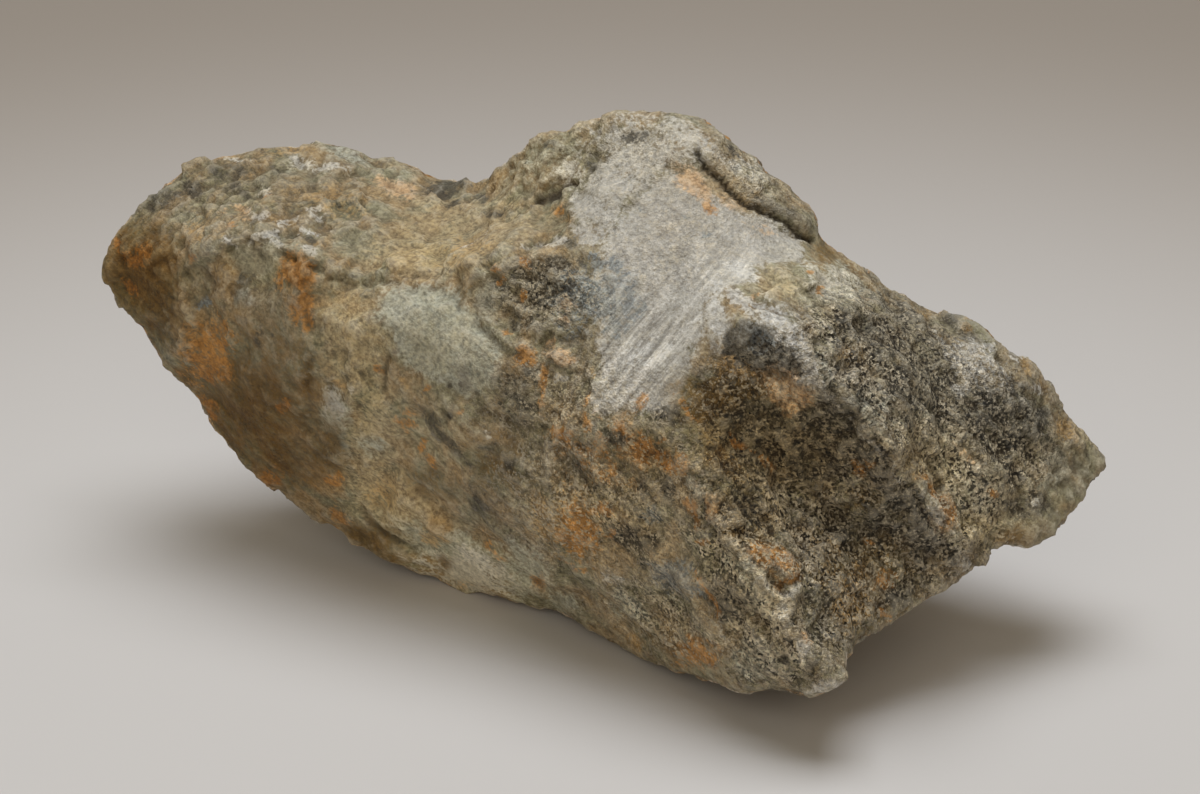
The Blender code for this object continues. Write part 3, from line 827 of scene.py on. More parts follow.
LEDGES: dict[str, Ledge] = {
    "hump's line": Ledge(((307, 225), (285, 229), (262, 237), (240, 243), (218, 247)), 18, -1.3),
    "end face": Ledge(((172, 230), (178, 262), (184, 300), (180, 340), (190, 372)), 26, 0.9),
    "hump's column": Ledge(((292, 262), (300, 300), (308, 350), (300, 400), (310, 450)), 22, -0.8),
    "left of the belly": Ledge(((352, 300), (346, 350), (352, 400), (364, 450), (360, 490)), 24, 0.8),
    "brow": Ledge(((420, 284), (392, 276), (367, 274), (343, 278), (325, 268), (307, 257), (283, 248),
                   (258, 243)), 16, -1.4),
    "pale face's edge": Ledge(((506, 352), (488, 330), (468, 306), (440, 290), (410, 282)), 14, -0.6),
    "corner block, top": Ledge(((470, 272), (490, 262), (512, 259), (530, 252), (550, 241),
                                (592, 239)), 16, -0.9),
    "corner block, left": Ledge(((468, 272), (460, 292), (478, 316), (504, 344), (545, 362),
                                 (592, 370)), 18, 1.6),
    "corner block, middle": Ledge(((512, 330), (545, 338), (575, 330), (598, 345)), 12, 0.7),
    "facet's edge": Ledge(((722, 290), (706, 310), (699, 345), (690, 366), (664, 418)), 14, 0.8),
    "facet's left": Ledge(((592, 242), (600, 262), (614, 285), (618, 320), (606, 352),
                           (592, 400)), 12, 0.6),
    "main ridge": Ledge(((800, 362), (830, 385), (858, 414), (884, 450), (912, 488), (938, 520),
                         (964, 556)), 20, 1.2),
    "vein": Ledge(((680, 466), (697, 490), (709, 512), (724, 542), (746, 574), (768, 600)), 14, 0.8),
    "flow, upper": Ledge(((345, 500), (384, 516), (416, 532), (444, 548), (462, 580)), 14, 0.7),
    "flow, lower": Ledge(((392, 540), (420, 556), (438, 562), (450, 586)), 12, 0.8),
    "front, first": Ledge(((600, 560), (640, 575), (672, 600), (700, 640)), 14, 0.6),
    "front, second": Ledge(((560, 560), (600, 590), (640, 622), (676, 652)), 14, 0.6),
    "under the crown": Ledge(((520, 205), (545, 200), (566, 204), (590, 196)), 10, 0.7),
    "lip": Ledge(((752, 640), (785, 668), (812, 676), (840, 664)), 12, 0.6),
}

STRIAE: Places = {
    "facet's foot": Patch(648, 350, 46, 56),
    "facet's edge": Patch(715, 270, 40, 30, 30, 0.6),
}

# Each groove is cut into the skin and also carries painted shade into its colour.
GROOVES: dict[str, Groove] = {
    "slab's crack": Groove(((697, 149), (706, 168), (716, 176), (727, 187), (745, 203), (762, 212),
                            (786, 224), (800, 237), (812, 240)), 4.5, 1.0),
    "pit": Groove(((540, 200), (550, 194), (560, 193), (566, 188), (576, 186)), 7, 0.8),
    "pale face": Groove(((388, 355), (384, 372), (386, 390)), 5, 0.5),
    "saddle": Groove(((413, 277), (427, 275)), 5, 0.5),
    "belly": Groove(((441, 409), (447, 416), (446, 424)), 5, 0.5),
    "flow": Groove(((362, 512), (384, 534), (402, 544)), 6, 0.5),
}


@dataclass(frozen=True)
class Scatter:
    """How a mineral lies on the hidden sides.

    Attributes:
        size_mm: How far apart its patches are.
        share: Its strength there: more than 0.5 covers about half.
    """

    size_mm: float
    share: float


HIDDEN: dict[Mineral, Scatter] = {
    Mineral.SLATE: Scatter(26, 0.52),
    Mineral.BUFF: Scatter(22, 0.50),
    Mineral.MINT: Scatter(24, 0.50),
    Mineral.TALC: Scatter(30, 0.40),
    Mineral.UMBER: Scatter(26, 0.50),
    Mineral.CHARCOAL: Scatter(20, 0.48),
    Mineral.BLUE: Scatter(16, 0.36),
    Mineral.TAN: Scatter(18, 0.45),
    Mineral.RUST: Scatter(15, 0.43),
    Mineral.PEACH: Scatter(14, 0.34),
    Mineral.FROST: Scatter(12, 0.40),
}


# ---------------------------------------------------------------------------------------------------
# The skin.


@dataclass(frozen=True)
class Chips:
    """Flat breaks of about one size, each leaning its own way.

    Attributes:
        size_mm: Their width.
        tilt: How steep they lean.
        share: How strong they are on even stone, and what full roughness adds to it.
        lean_step: How fast their leans change from one to the next.
        lift_step: How fast their heights change from one to the next.
        lift: How far they stand out over each other, as a share of their tilt.
        edge: How far the edges between them are rounded, as a share of their width.
    """

    size_mm: float
    tilt: float
    share: tuple[float, float]
    lean_step: float = 5.3
    lift_step: float = 3.1
    lift: float = 0.6
    edge: float = 0.07

    def height(self, place: Vector, seed: Vector) -> float:
        """How far the surface stands out at a place.

        Args:
            place: The place in millimetres.
            seed: Where the noise starts.

        Returns:
            The height in millimetres.
        """
        at = place / self.size_mm + seed
        distances, centres = noise.voronoi(at)
        heights = []
        for centre in centres[:2]:
            lean = noise.noise_vector(centre * self.lean_step) * (self.tilt * 2)
            lift = noise.noise(centre * self.lift_step) * self.tilt * self.lift
            heights.append((lean.dot(at - centre) + lift) * self.size_mm)
        share = MIDDLE + MIDDLE * float(smooth_step(0.0, self.edge, distances[1] - distances[0]))
        return heights[0] * share + heights[1] * (1 - share)


@dataclass(frozen=True)
class Layers:
    """Thin layers of the stone that stand out one over the next.

    Attributes:
        pitch_mm: How thick a layer is.
        rise_mm: How far its edge stands out.
        warp_mm: The length over which the layers are bent.
        warp: How far they are bent, in layers.
        patch_mm: The width of the patches in which they stand out.
        patch_step: How fast those patches change from one layer to the next.
        patch_level: How much of the stone they cover.
        rise_end: The share of a layer at which its slope ends.
        drop_start: The share of a layer at which it breaks off.
    """

    pitch_mm: float = 3.1
    rise_mm: float = 0.34
    warp_mm: float = 14.0
    warp: float = 1.2
    patch_mm: float = 16.0
    patch_step: float = 3.7
    patch_level: float = 0.4
    rise_end: float = 0.7
    drop_start: float = 0.8

    def height(self, place: Vector, foliation: Vector, seed: Vector) -> float:
        """How far the surface stands out at a place.

        Args:
            place: The place in millimetres.
            foliation: The direction square to the layers.
            seed: Where the noise starts.

        Returns:
            The height in millimetres.
        """
        warp = noise.fractal(place / self.warp_mm - seed, 1.0, OCTAVE, LAYER_WAVES) * self.warp
        layer = place.dot(foliation) / self.pitch_mm + warp
        share = layer % 1.0
        patch = Vector((math.floor(layer) * self.patch_step, 0, 0)) + place / self.patch_mm
        strength = max(0.0, noise.noise(patch) + self.patch_level)
        rise = min(1.0, share / self.rise_end)
        drop = 1.0 - max(0.0, (share - self.drop_start) / (1 - self.drop_start))
        return self.rise_mm * strength * min(rise, drop)


@dataclass
class StoneSkin:
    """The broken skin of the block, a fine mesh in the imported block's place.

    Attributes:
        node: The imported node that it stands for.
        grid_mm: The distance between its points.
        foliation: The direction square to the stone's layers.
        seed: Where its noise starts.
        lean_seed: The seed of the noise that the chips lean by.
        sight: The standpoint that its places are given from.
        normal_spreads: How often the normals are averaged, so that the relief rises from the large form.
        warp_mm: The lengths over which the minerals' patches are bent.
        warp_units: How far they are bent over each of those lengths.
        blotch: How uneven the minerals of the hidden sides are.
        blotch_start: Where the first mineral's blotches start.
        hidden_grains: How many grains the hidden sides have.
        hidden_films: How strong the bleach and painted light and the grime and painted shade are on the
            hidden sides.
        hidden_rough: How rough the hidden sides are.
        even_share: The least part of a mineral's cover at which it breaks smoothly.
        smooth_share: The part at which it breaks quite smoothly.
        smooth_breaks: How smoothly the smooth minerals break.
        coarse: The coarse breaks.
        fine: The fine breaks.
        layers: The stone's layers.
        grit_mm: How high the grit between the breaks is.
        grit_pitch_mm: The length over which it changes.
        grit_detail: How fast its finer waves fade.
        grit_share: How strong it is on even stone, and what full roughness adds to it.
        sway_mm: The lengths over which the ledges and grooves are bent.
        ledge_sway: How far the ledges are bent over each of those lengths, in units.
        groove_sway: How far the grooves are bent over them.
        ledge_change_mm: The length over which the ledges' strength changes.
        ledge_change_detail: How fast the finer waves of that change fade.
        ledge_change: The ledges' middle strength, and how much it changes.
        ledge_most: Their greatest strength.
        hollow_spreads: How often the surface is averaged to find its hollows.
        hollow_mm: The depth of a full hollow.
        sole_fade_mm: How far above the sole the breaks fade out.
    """

    node: str = "soapstone"
    grid_mm: float = 0.81
    foliation: Vector = field(default_factory=lambda: Vector((0.72, 0.38, 0.58)).normalized())
    seed: Vector = field(default_factory=lambda: Vector((13.7, 5.1, 8.9)))
    lean_seed: int = 7
    sight: Sight = field(default_factory=Sight)
    normal_spreads: int = 6
    warp_mm: tuple[float, float] = (6.0, 2.0)
    warp_units: tuple[float, float] = (9.0, 4.0)
    blotch: float = 0.55
    blotch_start: float = 1.7
    hidden_grains: float = 0.6
    hidden_films: float = 0.2
    hidden_rough: float = 0.8
    even_share: float = 0.5
    smooth_share: float = 0.8
    smooth_breaks: dict[Mineral, float] = field(default_factory=lambda: {
        Mineral.TALC: 0.75,
        Mineral.MINT: 0.55,
        Mineral.SLATE: 0.55,
    })
    coarse: Chips = Chips(5.0, 0.20, (0.35, 0.75))
    fine: Chips = Chips(2.4, 0.24, (0.2, 0.65))
    layers: Layers = Layers()
    grit_mm: float = 0.16
    grit_pitch_mm: float = 1.9
    grit_detail: float = 0.8
    grit_share: tuple[float, float] = (0.4, 0.6)
    sway_mm: tuple[float, float] = (1.6, 5.5)
    ledge_sway: tuple[float, float] = (4.0, 7.0)
    groove_sway: tuple[float, float] = (1.5, 3.0)
    ledge_change_mm: float = 5.0
    ledge_change_detail: float = 0.9
    ledge_change: tuple[float, float] = (0.65, 1.6)
    ledge_most: float = 1.5
    hollow_spreads: int = 5
    hollow_mm: float = 0.22
    sole_fade_mm: float = 3.0

    def build(self) -> bpy.types.Object:
        """Makes the skin, paints its minerals and breaks its surface.

        Returns:
            The finished mesh, without its material.
        """
        noise.seed_set(self.lean_seed)
        skin = self._fine_copy()
        points, normals = self._read(skin)
        wide_normals = self._spread(skin, normals, self.normal_spreads)
        wide_normals /= np.linalg.norm(wide_normals, axis=1, keepdims=True)
        spots = self.sight.spots(points)
        seen = self.sight.seen(points, wide_normals)
        places_mm = [Vector(point) / MM for point in points]
        covers = self._minerals(places_mm, spots, seen)
        rough = self._painted(spots, seen, ROUGH, self.hidden_rough)
        moves, groove = self._relief(places_mm, spots, seen, rough, covers)
        moves *= smooth_step(0.0, self.sole_fade_mm * MM, points[:, 2])
        moved = points + wide_normals * (moves * MM)[:, None]
        moved[:, 2] = np.maximum(moved[:, 2], 0.0)
        skin.data.vertices.foreach_set("co", moved.astype(np.float32).ravel())
        skin.data.update()
        stored = {mineral.value: cover for mineral, cover in covers.items()}
        stored["grains"] = self._painted(spots, seen, GRAINS, self.hidden_grains)
        stored["striae"] = self._painted(spots, seen, STRIAE, 0.0)
        # The washes of bleach and painted light, and of grime and painted shade.
        stored["bleach_and_light"] = self._painted(spots, seen, BLEACH_AND_PAINTED_LIGHT, self.hidden_films)
        stored["grime_and_shade"] = self._painted(spots, seen, GRIME_AND_PAINTED_SHADE, self.hidden_films)
        stored["groove"] = groove
        stored["hollow"] = self._hollow(skin)
        for name, values in stored.items():
            layer = skin.data.attributes.new(name, "FLOAT", "POINT")
            layer.data.foreach_set("value", values.astype(np.float32))
        return skin

    def _fine_copy(self) -> bpy.types.Object:
        """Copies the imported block, joins its triangles and gives it an even fine mesh.

        Returns:
            The copy.
        """
        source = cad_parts[self.node]
        skin = bpy.data.objects.new("soapstone_skin", source.data.copy())
        bpy.context.scene.collection.objects.link(skin)
        bpy.ops.object.select_all(action="DESELECT")
        bpy.context.view_layer.objects.active = skin
        skin.select_set(True)
        bpy.ops.object.mode_set(mode="EDIT")
        bpy.ops.mesh.select_all(action="SELECT")
        bpy.ops.mesh.remove_doubles(threshold=JOIN_GAP)
        bpy.ops.object.mode_set(mode="OBJECT")
        rounding = skin.modifiers.new("Subdivision", "SUBSURF")
        rounding.subdivision_type = "SIMPLE"
        rounding.levels = rounding.render_levels = 1
        bpy.ops.object.modifier_apply(modifier=rounding.name)
        grid = skin.modifiers.new("Remesh", "REMESH")
        grid.mode = "VOXEL"
        grid.voxel_size = self.grid_mm * MM
        bpy.ops.object.modifier_apply(modifier=grid.name)
        bpy.ops.object.shade_smooth()
        return skin

    def _read(self, skin: bpy.types.Object) -> tuple[np.ndarray, np.ndarray]:
        """Reads the skin's points.

        Args:
            skin: The mesh.

        Returns:
            Their places and their normals, two (n, 3) arrays.
        """
        count = len(skin.data.vertices)
        points, normals = np.empty(count * 3, np.float32), np.empty(count * 3, np.float32)
        skin.data.vertices.foreach_get("co", points)
        skin.data.vertex_normals.foreach_get("vector", normals)
        return points.reshape(-1, 3).astype(float), normals.reshape(-1, 3).astype(float)

    def _spread(self, skin: bpy.types.Object, values: np.ndarray, times: int) -> np.ndarray:
        """Averages a value of each point with its neighbours'.

        Args:
            skin: The mesh.
            values: An (n, k) array.
            times: How often it is averaged.

        Returns:
            The spread values.
        """
        ends = np.empty(len(skin.data.edges) * 2, np.int32)
        skin.data.edges.foreach_get("vertices", ends)
        ends = ends.reshape(-1, 2)
        count = np.bincount(ends.ravel(), minlength=len(values))[:, None] + 1
        for _ in range(times):
            total = values.copy()
            for column in range(values.shape[1]):
                total[:, column] += np.bincount(ends[:, 0], values[ends[:, 1], column], len(values))
                total[:, column] += np.bincount(ends[:, 1], values[ends[:, 0], column], len(values))
            values = total / count
        return values

    def _drifts(self, places_mm: list[Vector], length: float) -> np.ndarray:
        """A smooth drift across and down, from -1 to 1, that changes over a length in millimetres."""
        drifts = [noise.noise_vector(place / length + self.seed) for place in places_mm]
        return np.array(drifts)[:, :2]

    def _clouds(self, places_mm: list[Vector], length: float, start: Vector, detail: float) -> np.ndarray:
        """Smooth noise about 0 that changes over a length in millimetres.

        Args:
            places_mm: The places of the points.
            length: The length.
            start: Where the noise starts.
            detail: How fast its finer waves fade.

        Returns:
            A value for each point.
        """
        places = [place / length + start for place in places_mm]
        return np.array([noise.fractal(place, detail, OCTAVE, CLOUD_WAVES) for place in places])

    def _minerals(self, places_mm: list[Vector], spots: np.ndarray,
                  seen: np.ndarray) -> dict[Mineral, np.ndarray]:
        """How much of each mineral lies at each point.

        Args:
            places_mm: The places of the points.
            spots: Where they show in the sight frame.
            seen: 1 on the side in sight, and 0 on the hidden sides.

        Returns:
            From 0 to 1 for each mineral; its patches end at about 0.5.
        """
        for length, reach in zip(self.warp_mm, self.warp_units):
            spots = spots + self._drifts(places_mm, length) * reach
        covers = {}
        for number, mineral in enumerate(Mineral):
            scatter = HIDDEN[mineral]
            start = self.seed * (self.blotch_start + number)
            blotches = self._clouds(places_mm, scatter.size_mm, start, 1.0)
            hidden = np.clip(scatter.share + self.blotch * blotches, 0.0, 1.0)
            covers[mineral] = self._painted(spots, seen, PLACES[mineral], hidden)
        return covers

    def _painted(self, spots: np.ndarray, seen: np.ndarray, places: Places,
                 hidden: float | np.ndarray) -> np.ndarray:
        """How much of a set of patches lies at each point.

        Args:
            spots: Where the points show in the sight frame.
            seen: 1 on the side in sight, and 0 on the hidden sides.
            places: The patches.
            hidden: The value on the hidden sides.

        Returns:
            From 0 to the strength of the strongest patch.
        """
        shown = np.maximum.reduce([place.cover(spots) for place in places.values()])
        return shown * seen + hidden * (1 - seen)

    def _relief(self, places_mm: list[Vector], spots: np.ndarray, seen: np.ndarray, rough: np.ndarray,
                covers: dict[Mineral, np.ndarray]) -> tuple[np.ndarray, np.ndarray]:
        """How far each point is pushed out of the even skin.

        Args:
            places_mm: The places of the points.
            spots: Where they show in the sight frame.
            seen: 1 on the side in sight, and 0 on the hidden sides.
            rough: How rough the stone is there.
            covers: The minerals there, because the smooth ones break smoothly.

        Returns:
            The moves in millimetres, and how deep each point lies in a groove, from 0 to 1.
        """
        moves = np.array([self.layers.height(place, self.foliation, self.seed) for place in places_mm])
        for chips in (self.coarse, self.fine):
            heights = np.array([chips.height(place, self.seed) for place in places_mm])
            moves += heights * ranged(chips.share, rough)
        grit = self._clouds(places_mm, self.grit_pitch_mm, self.seed, self.grit_detail)
        moves += self.grit_mm * grit * ranged(self.grit_share, rough)
        smooth = np.maximum.reduce([
            share * smooth_step(self.even_share, self.smooth_share, covers[mineral])
            for mineral, share in self.smooth_breaks.items()
        ])
        moves *= 1 - smooth
        drift, sway = (self._drifts(places_mm, length) for length in self.sway_mm)
        fickle = self._clouds(places_mm, self.ledge_change_mm, self.seed, self.ledge_change_detail)
        ledge_spots = spots + drift * self.ledge_sway[0] + sway * self.ledge_sway[1]
        for ledge in LEDGES.values():
            strength = np.clip(ranged(self.ledge_change, fickle), 0.0, self.ledge_most)
            moves += ledge.lift(ledge_spots) * seen * strength
        groove = np.zeros(len(spots))
        groove_spots = spots + drift * self.groove_sway[0] + sway * self.groove_sway[1]
        for cut in GROOVES.values():
            depth = cut.cover(groove_spots) * seen
            moves -= depth * cut.depth_mm
            groove = np.maximum(groove, depth * min(1.0, cut.depth_mm))
        return moves, groove

    def _hollow(self, skin: bpy.types.Object) -> np.ndarray:
        """How far each point lies below its surroundings.

        Args:
            skin: The broken mesh.

        Returns:
            0.5 where the surface is even, 1 in a deep hollow and 0 on a sharp edge.
        """
        points, normals = self._read(skin)
        level = self._spread(skin, points, self.hollow_spreads)
        sunk = np.sum((level - points) * normals, axis=1) / (self.hollow_mm * MM)
        return np.clip(MIDDLE + MIDDLE * sunk, 0.0, 1.0)


# ---------------------------------------------------------------------------------------------------
# Shader arithmetic.


@dataclass(frozen=True)
class Pattern:
    """A cloudy noise.

    Attributes:
        scale: Its waves to a metre.
        detail: How many finer waves it has.
        rough: How strong the finer waves are.
        bend: How much it is distorted.
    """

    scale: float
    detail: float
    rough: float
    bend: float = 0.0


@dataclass(frozen=True)
class Rise:
    """How a value turns into a share from 0 to 1.

    Attributes:
        level: The value at which the share is `start`.
        gain: How fast the share grows with the value; below 0 it falls.
        start: The share at the level.
    """

    level: float
    gain: float
    start: float = 0.0


class Socket:
    """An output of a shader node that takes part in arithmetic."""

    def __init__(self, tree: bpy.types.NodeTree, output: bpy.types.NodeSocket) -> None:
        """Wraps an output.

        Args:
            tree: The node tree that it is in.
            output: The output.
        """
        self.tree = tree
        self.output = output

    def _math(self, operation: str, first: Any, second: Any, clamp: bool = False) -> "Socket":
        """Adds one Math node.

        Args:
            operation: What it works out.
            first: A number or a socket.
            second: A number or a socket.
            clamp: Whether the result is kept between 0 and 1.

        Returns:
            The result.
        """
        made = self.tree.nodes.new("ShaderNodeMath")
        made.operation = operation
        made.use_clamp = clamp
        for place, value in zip(made.inputs, (first, second)):
            if isinstance(value, Socket):
                self.tree.links.new(value.output, place)
            else:
                place.default_value = value
        return Socket(self.tree, made.outputs[0])

    def __add__(self, other: Any) -> "Socket":
        """The sum."""
        return self._math("ADD", self, other)

    def __radd__(self, other: float) -> "Socket":
        """The sum, from the right."""
        return self._math("ADD", other, self)

    def __sub__(self, other: Any) -> "Socket":
        """The difference."""
        return self._math("SUBTRACT", self, other)

    def __rsub__(self, other: float) -> "Socket":
        """The difference, from the right."""
        return self._math("SUBTRACT", other, self)

    def __mul__(self, other: Any) -> "Socket":
        """The product."""
        return self._math("MULTIPLY", self, other)

    def __rmul__(self, other: float) -> "Socket":
        """The product, from the right."""
        return self._math("MULTIPLY", other, self)

    def larger(self, other: Any) -> "Socket":
        """The larger of the two."""
        return self._math("MAXIMUM", self, other)

    def clamped(self, start: float = 0.0) -> "Socket":
        """The value with `start` added, kept between 0 and 1."""
        return self._math("ADD", self, start, clamp=True)

    def towards(self, other: "Socket", share: Any) -> "Socket":
        """The value, moved towards another by a share of the way."""
        return self + (other - self) * share

    def through(self, rise: Rise) -> "Socket":
        """The share from 0 to 1 that a rise makes of the value."""
        return ((self - rise.level) * rise.gain).clamped(rise.start)


class Bench:
    """A material's node tree, and the few ways in which nodes are added to it.

    Attributes:
        mix_inputs: The numbers of a Mix node's share and its two colours.
        mix_output: The number of its mixed colour.
    """

    mix_inputs = (0, 6, 7)
    mix_output = 2

    def __init__(self, name: str) -> None:
        """Starts a material.

        Args:
            name: The material's name.
        """
        self.material = bpy.data.materials.new(name)
        self.material.use_nodes = True
        self.tree = self.material.node_tree
        self.shader = self.tree.nodes["Principled BSDF"]

    def node(self, kind: str, settings: dict[str, Any], inputs: dict[Any, Any]) -> bpy.types.Node:
        """Adds a node.

        Args:
            kind: The node's type.
            settings: What is set on the node first; "stops" sets a ramp's colours.
            inputs: Values or links of its sockets, by name or number.

        Returns:
            The node.
        """
        made = self.tree.nodes.new(kind)
        for key, value in settings.items():
            if key == "stops":
                self._stops(made.color_ramp, value)
            else:
                setattr(made, key, value)
        for key, value in inputs.items():
            if isinstance(value, Socket):
                self.tree.links.new(value.output, made.inputs[key])
            else:
                made.inputs[key].default_value = value
        return made

    def _stops(self, ramp: bpy.types.ColorRamp, stops: list[tuple[float, Any]]) -> None:
        """Sets a ramp's places and colours.

        Args:
            ramp: The ramp.
            stops: Its places from 0 to 1, each with its colour.
        """
        while len(ramp.elements) < len(stops):
            ramp.elements.new(MIDDLE)
        for element, (place, colour) in zip(ramp.elements, stops):
            element.position = place
            element.color = colour

    def attribute(self, name: str) -> Socket:
        """A stored value of the mesh."""
        made = self.node("ShaderNodeAttribute", {"attribute_name": name}, {})
        return Socket(self.tree, made.outputs["Fac"])

    def places(self) -> Socket:
        """Object coordinates."""
        made = self.node("ShaderNodeTexCoord", {}, {})
        return Socket(self.tree, made.outputs["Object"])

    def noise(self, places: Socket, pattern: Pattern) -> Socket:
        """Cloudy noise.

        Args:
            places: The coordinates.
            pattern: The noise's waves.

        Returns:
            A value from 0 to 1.
        """
        made = self.node("ShaderNodeTexNoise", {}, {
            "Vector": places,
            "Scale": pattern.scale,
            "Detail": pattern.detail,
            "Roughness": pattern.rough,
            "Distortion": pattern.bend,
        })
        return Socket(self.tree, made.outputs["Fac"])

    def cells(self, places: Socket, scale: float) -> tuple[Socket, Socket]:
        """Grains side by side.

        Args:
            places: The coordinates.
            scale: Grains to a metre.

        Returns:
            A value of each grain from 0 to 1, and how far a place is from its grain's middle.
        """
        made = self.node("ShaderNodeTexVoronoi", {"feature": "F1"}, {"Vector": places, "Scale": scale})
        pick = self.node("ShaderNodeSeparateColor", {}, {"Color": Socket(self.tree, made.outputs["Color"])})
        return Socket(self.tree, pick.outputs["Red"]), Socket(self.tree, made.outputs["Distance"])

    def mix(self, share: Any, first: Any, second: Any, blend: str = "MIX") -> Socket:
        """Mixes two colours.

        Args:
            share: How much of the second.
            first: A colour or a socket.
            second: A colour or a socket.
            blend: The way they are mixed.

        Returns:
            The mixed colour.
        """
        settings = {"data_type": "RGBA", "blend_type": blend, "clamp_factor": True, "clamp_result": True}
        made = self.node("ShaderNodeMix", settings, dict(zip(self.mix_inputs, (share, first, second))))
        return Socket(self.tree, made.outputs[self.mix_output])

    def stretched(self, places: Socket, across: Vector, share: float) -> Socket:
        """Coordinates drawn out square to a direction, for a pattern in layers.

        Args:
            places: The coordinates.
            across: The direction that keeps its scale.
            share: The scale in the other directions.

        Returns:
            The new coordinates.
        """
        turn = across.rotation_difference(Vector((0, 0, 1))).to_euler()
        made = self.node("ShaderNodeMapping", {"vector_type": "POINT"}, {
            "Vector": places,
            "Rotation": tuple(turn),
        })
        turned = Socket(self.tree, made.outputs["Vector"])
        scaled = self.node("ShaderNodeVectorMath", {"operation": "MULTIPLY"}, {
            0: turned,
            1: (share, share, 1.0),
        })
        return Socket(self.tree, scaled.outputs["Vector"])


# ---------------------------------------------------------------------------------------------------
# The finish.


@dataclass(frozen=True)
class Blend:
    """How much each of the stone's noises counts in a sum of them."""

    cloud: float = 0.0
    grit: float = 0.0
    dust: float = 0.0
    speck: float = 0.0
    grain: float = 0.0
    fine: float = 0.0
    weave: float = 0.0
    runs: float = 0.0
    warm_edge: float = 0.0
    cold_edge: float = 0.0


@dataclass
class StoneNoise:
    """The noises that the layers of the finish share, each from 0 to 1.

    Attributes:
        cloud: Wide clouds.
        grit: Middling grit.
        dust: The finest noise.
        speck: Fine noise, a little wider than the dust.
        grain: The dust, broken up by small grains.
        fine: The specks and the grain together.
        weave: Fibres along the layers, and on talc curled or straight hairs.
        striae: Straight hairs.
        hue: Slow changes of hue.
        runs: Coarse fibres along the layers.
        warm_edge: What frays the warm minerals.
        cold_edge: What frays the cold minerals.
        calm: 1 on talc, which is even.
        pepper: How many grains there are.
    """

    cloud: Socket
    grit: Socket
    dust: Socket
    speck: Socket
    grain: Socket
    fine: Socket
    weave: Socket
    striae: Socket
    hue: Socket
    runs: Socket
    warm_edge: Socket
    cold_edge: Socket
    calm: Socket
    pepper: Socket

    def blend(self, shares: Blend) -> Socket:
        """Adds up the noises by their shares."""
        parts = [share * getattr(self, name) for name, share in vars(shares).items() if share]
        return sum(parts[1:], parts[0])


@dataclass(frozen=True)
class MineralFinish:
    """The look of one mineral.

    Attributes:
        dark: Its colour in its dark grains.
        light: Its colour in its light grains.
        ragged: How far its edge is broken up.
        crisp: How sharp its edge is.
        most: How much of what is under it it hides.
        spread: How far it reaches over its patches' edges, as a share of their strength.
    """

    dark: Shade
    light: Shade
    ragged: float
    crisp: float
    most: float
    spread: float = 0.0


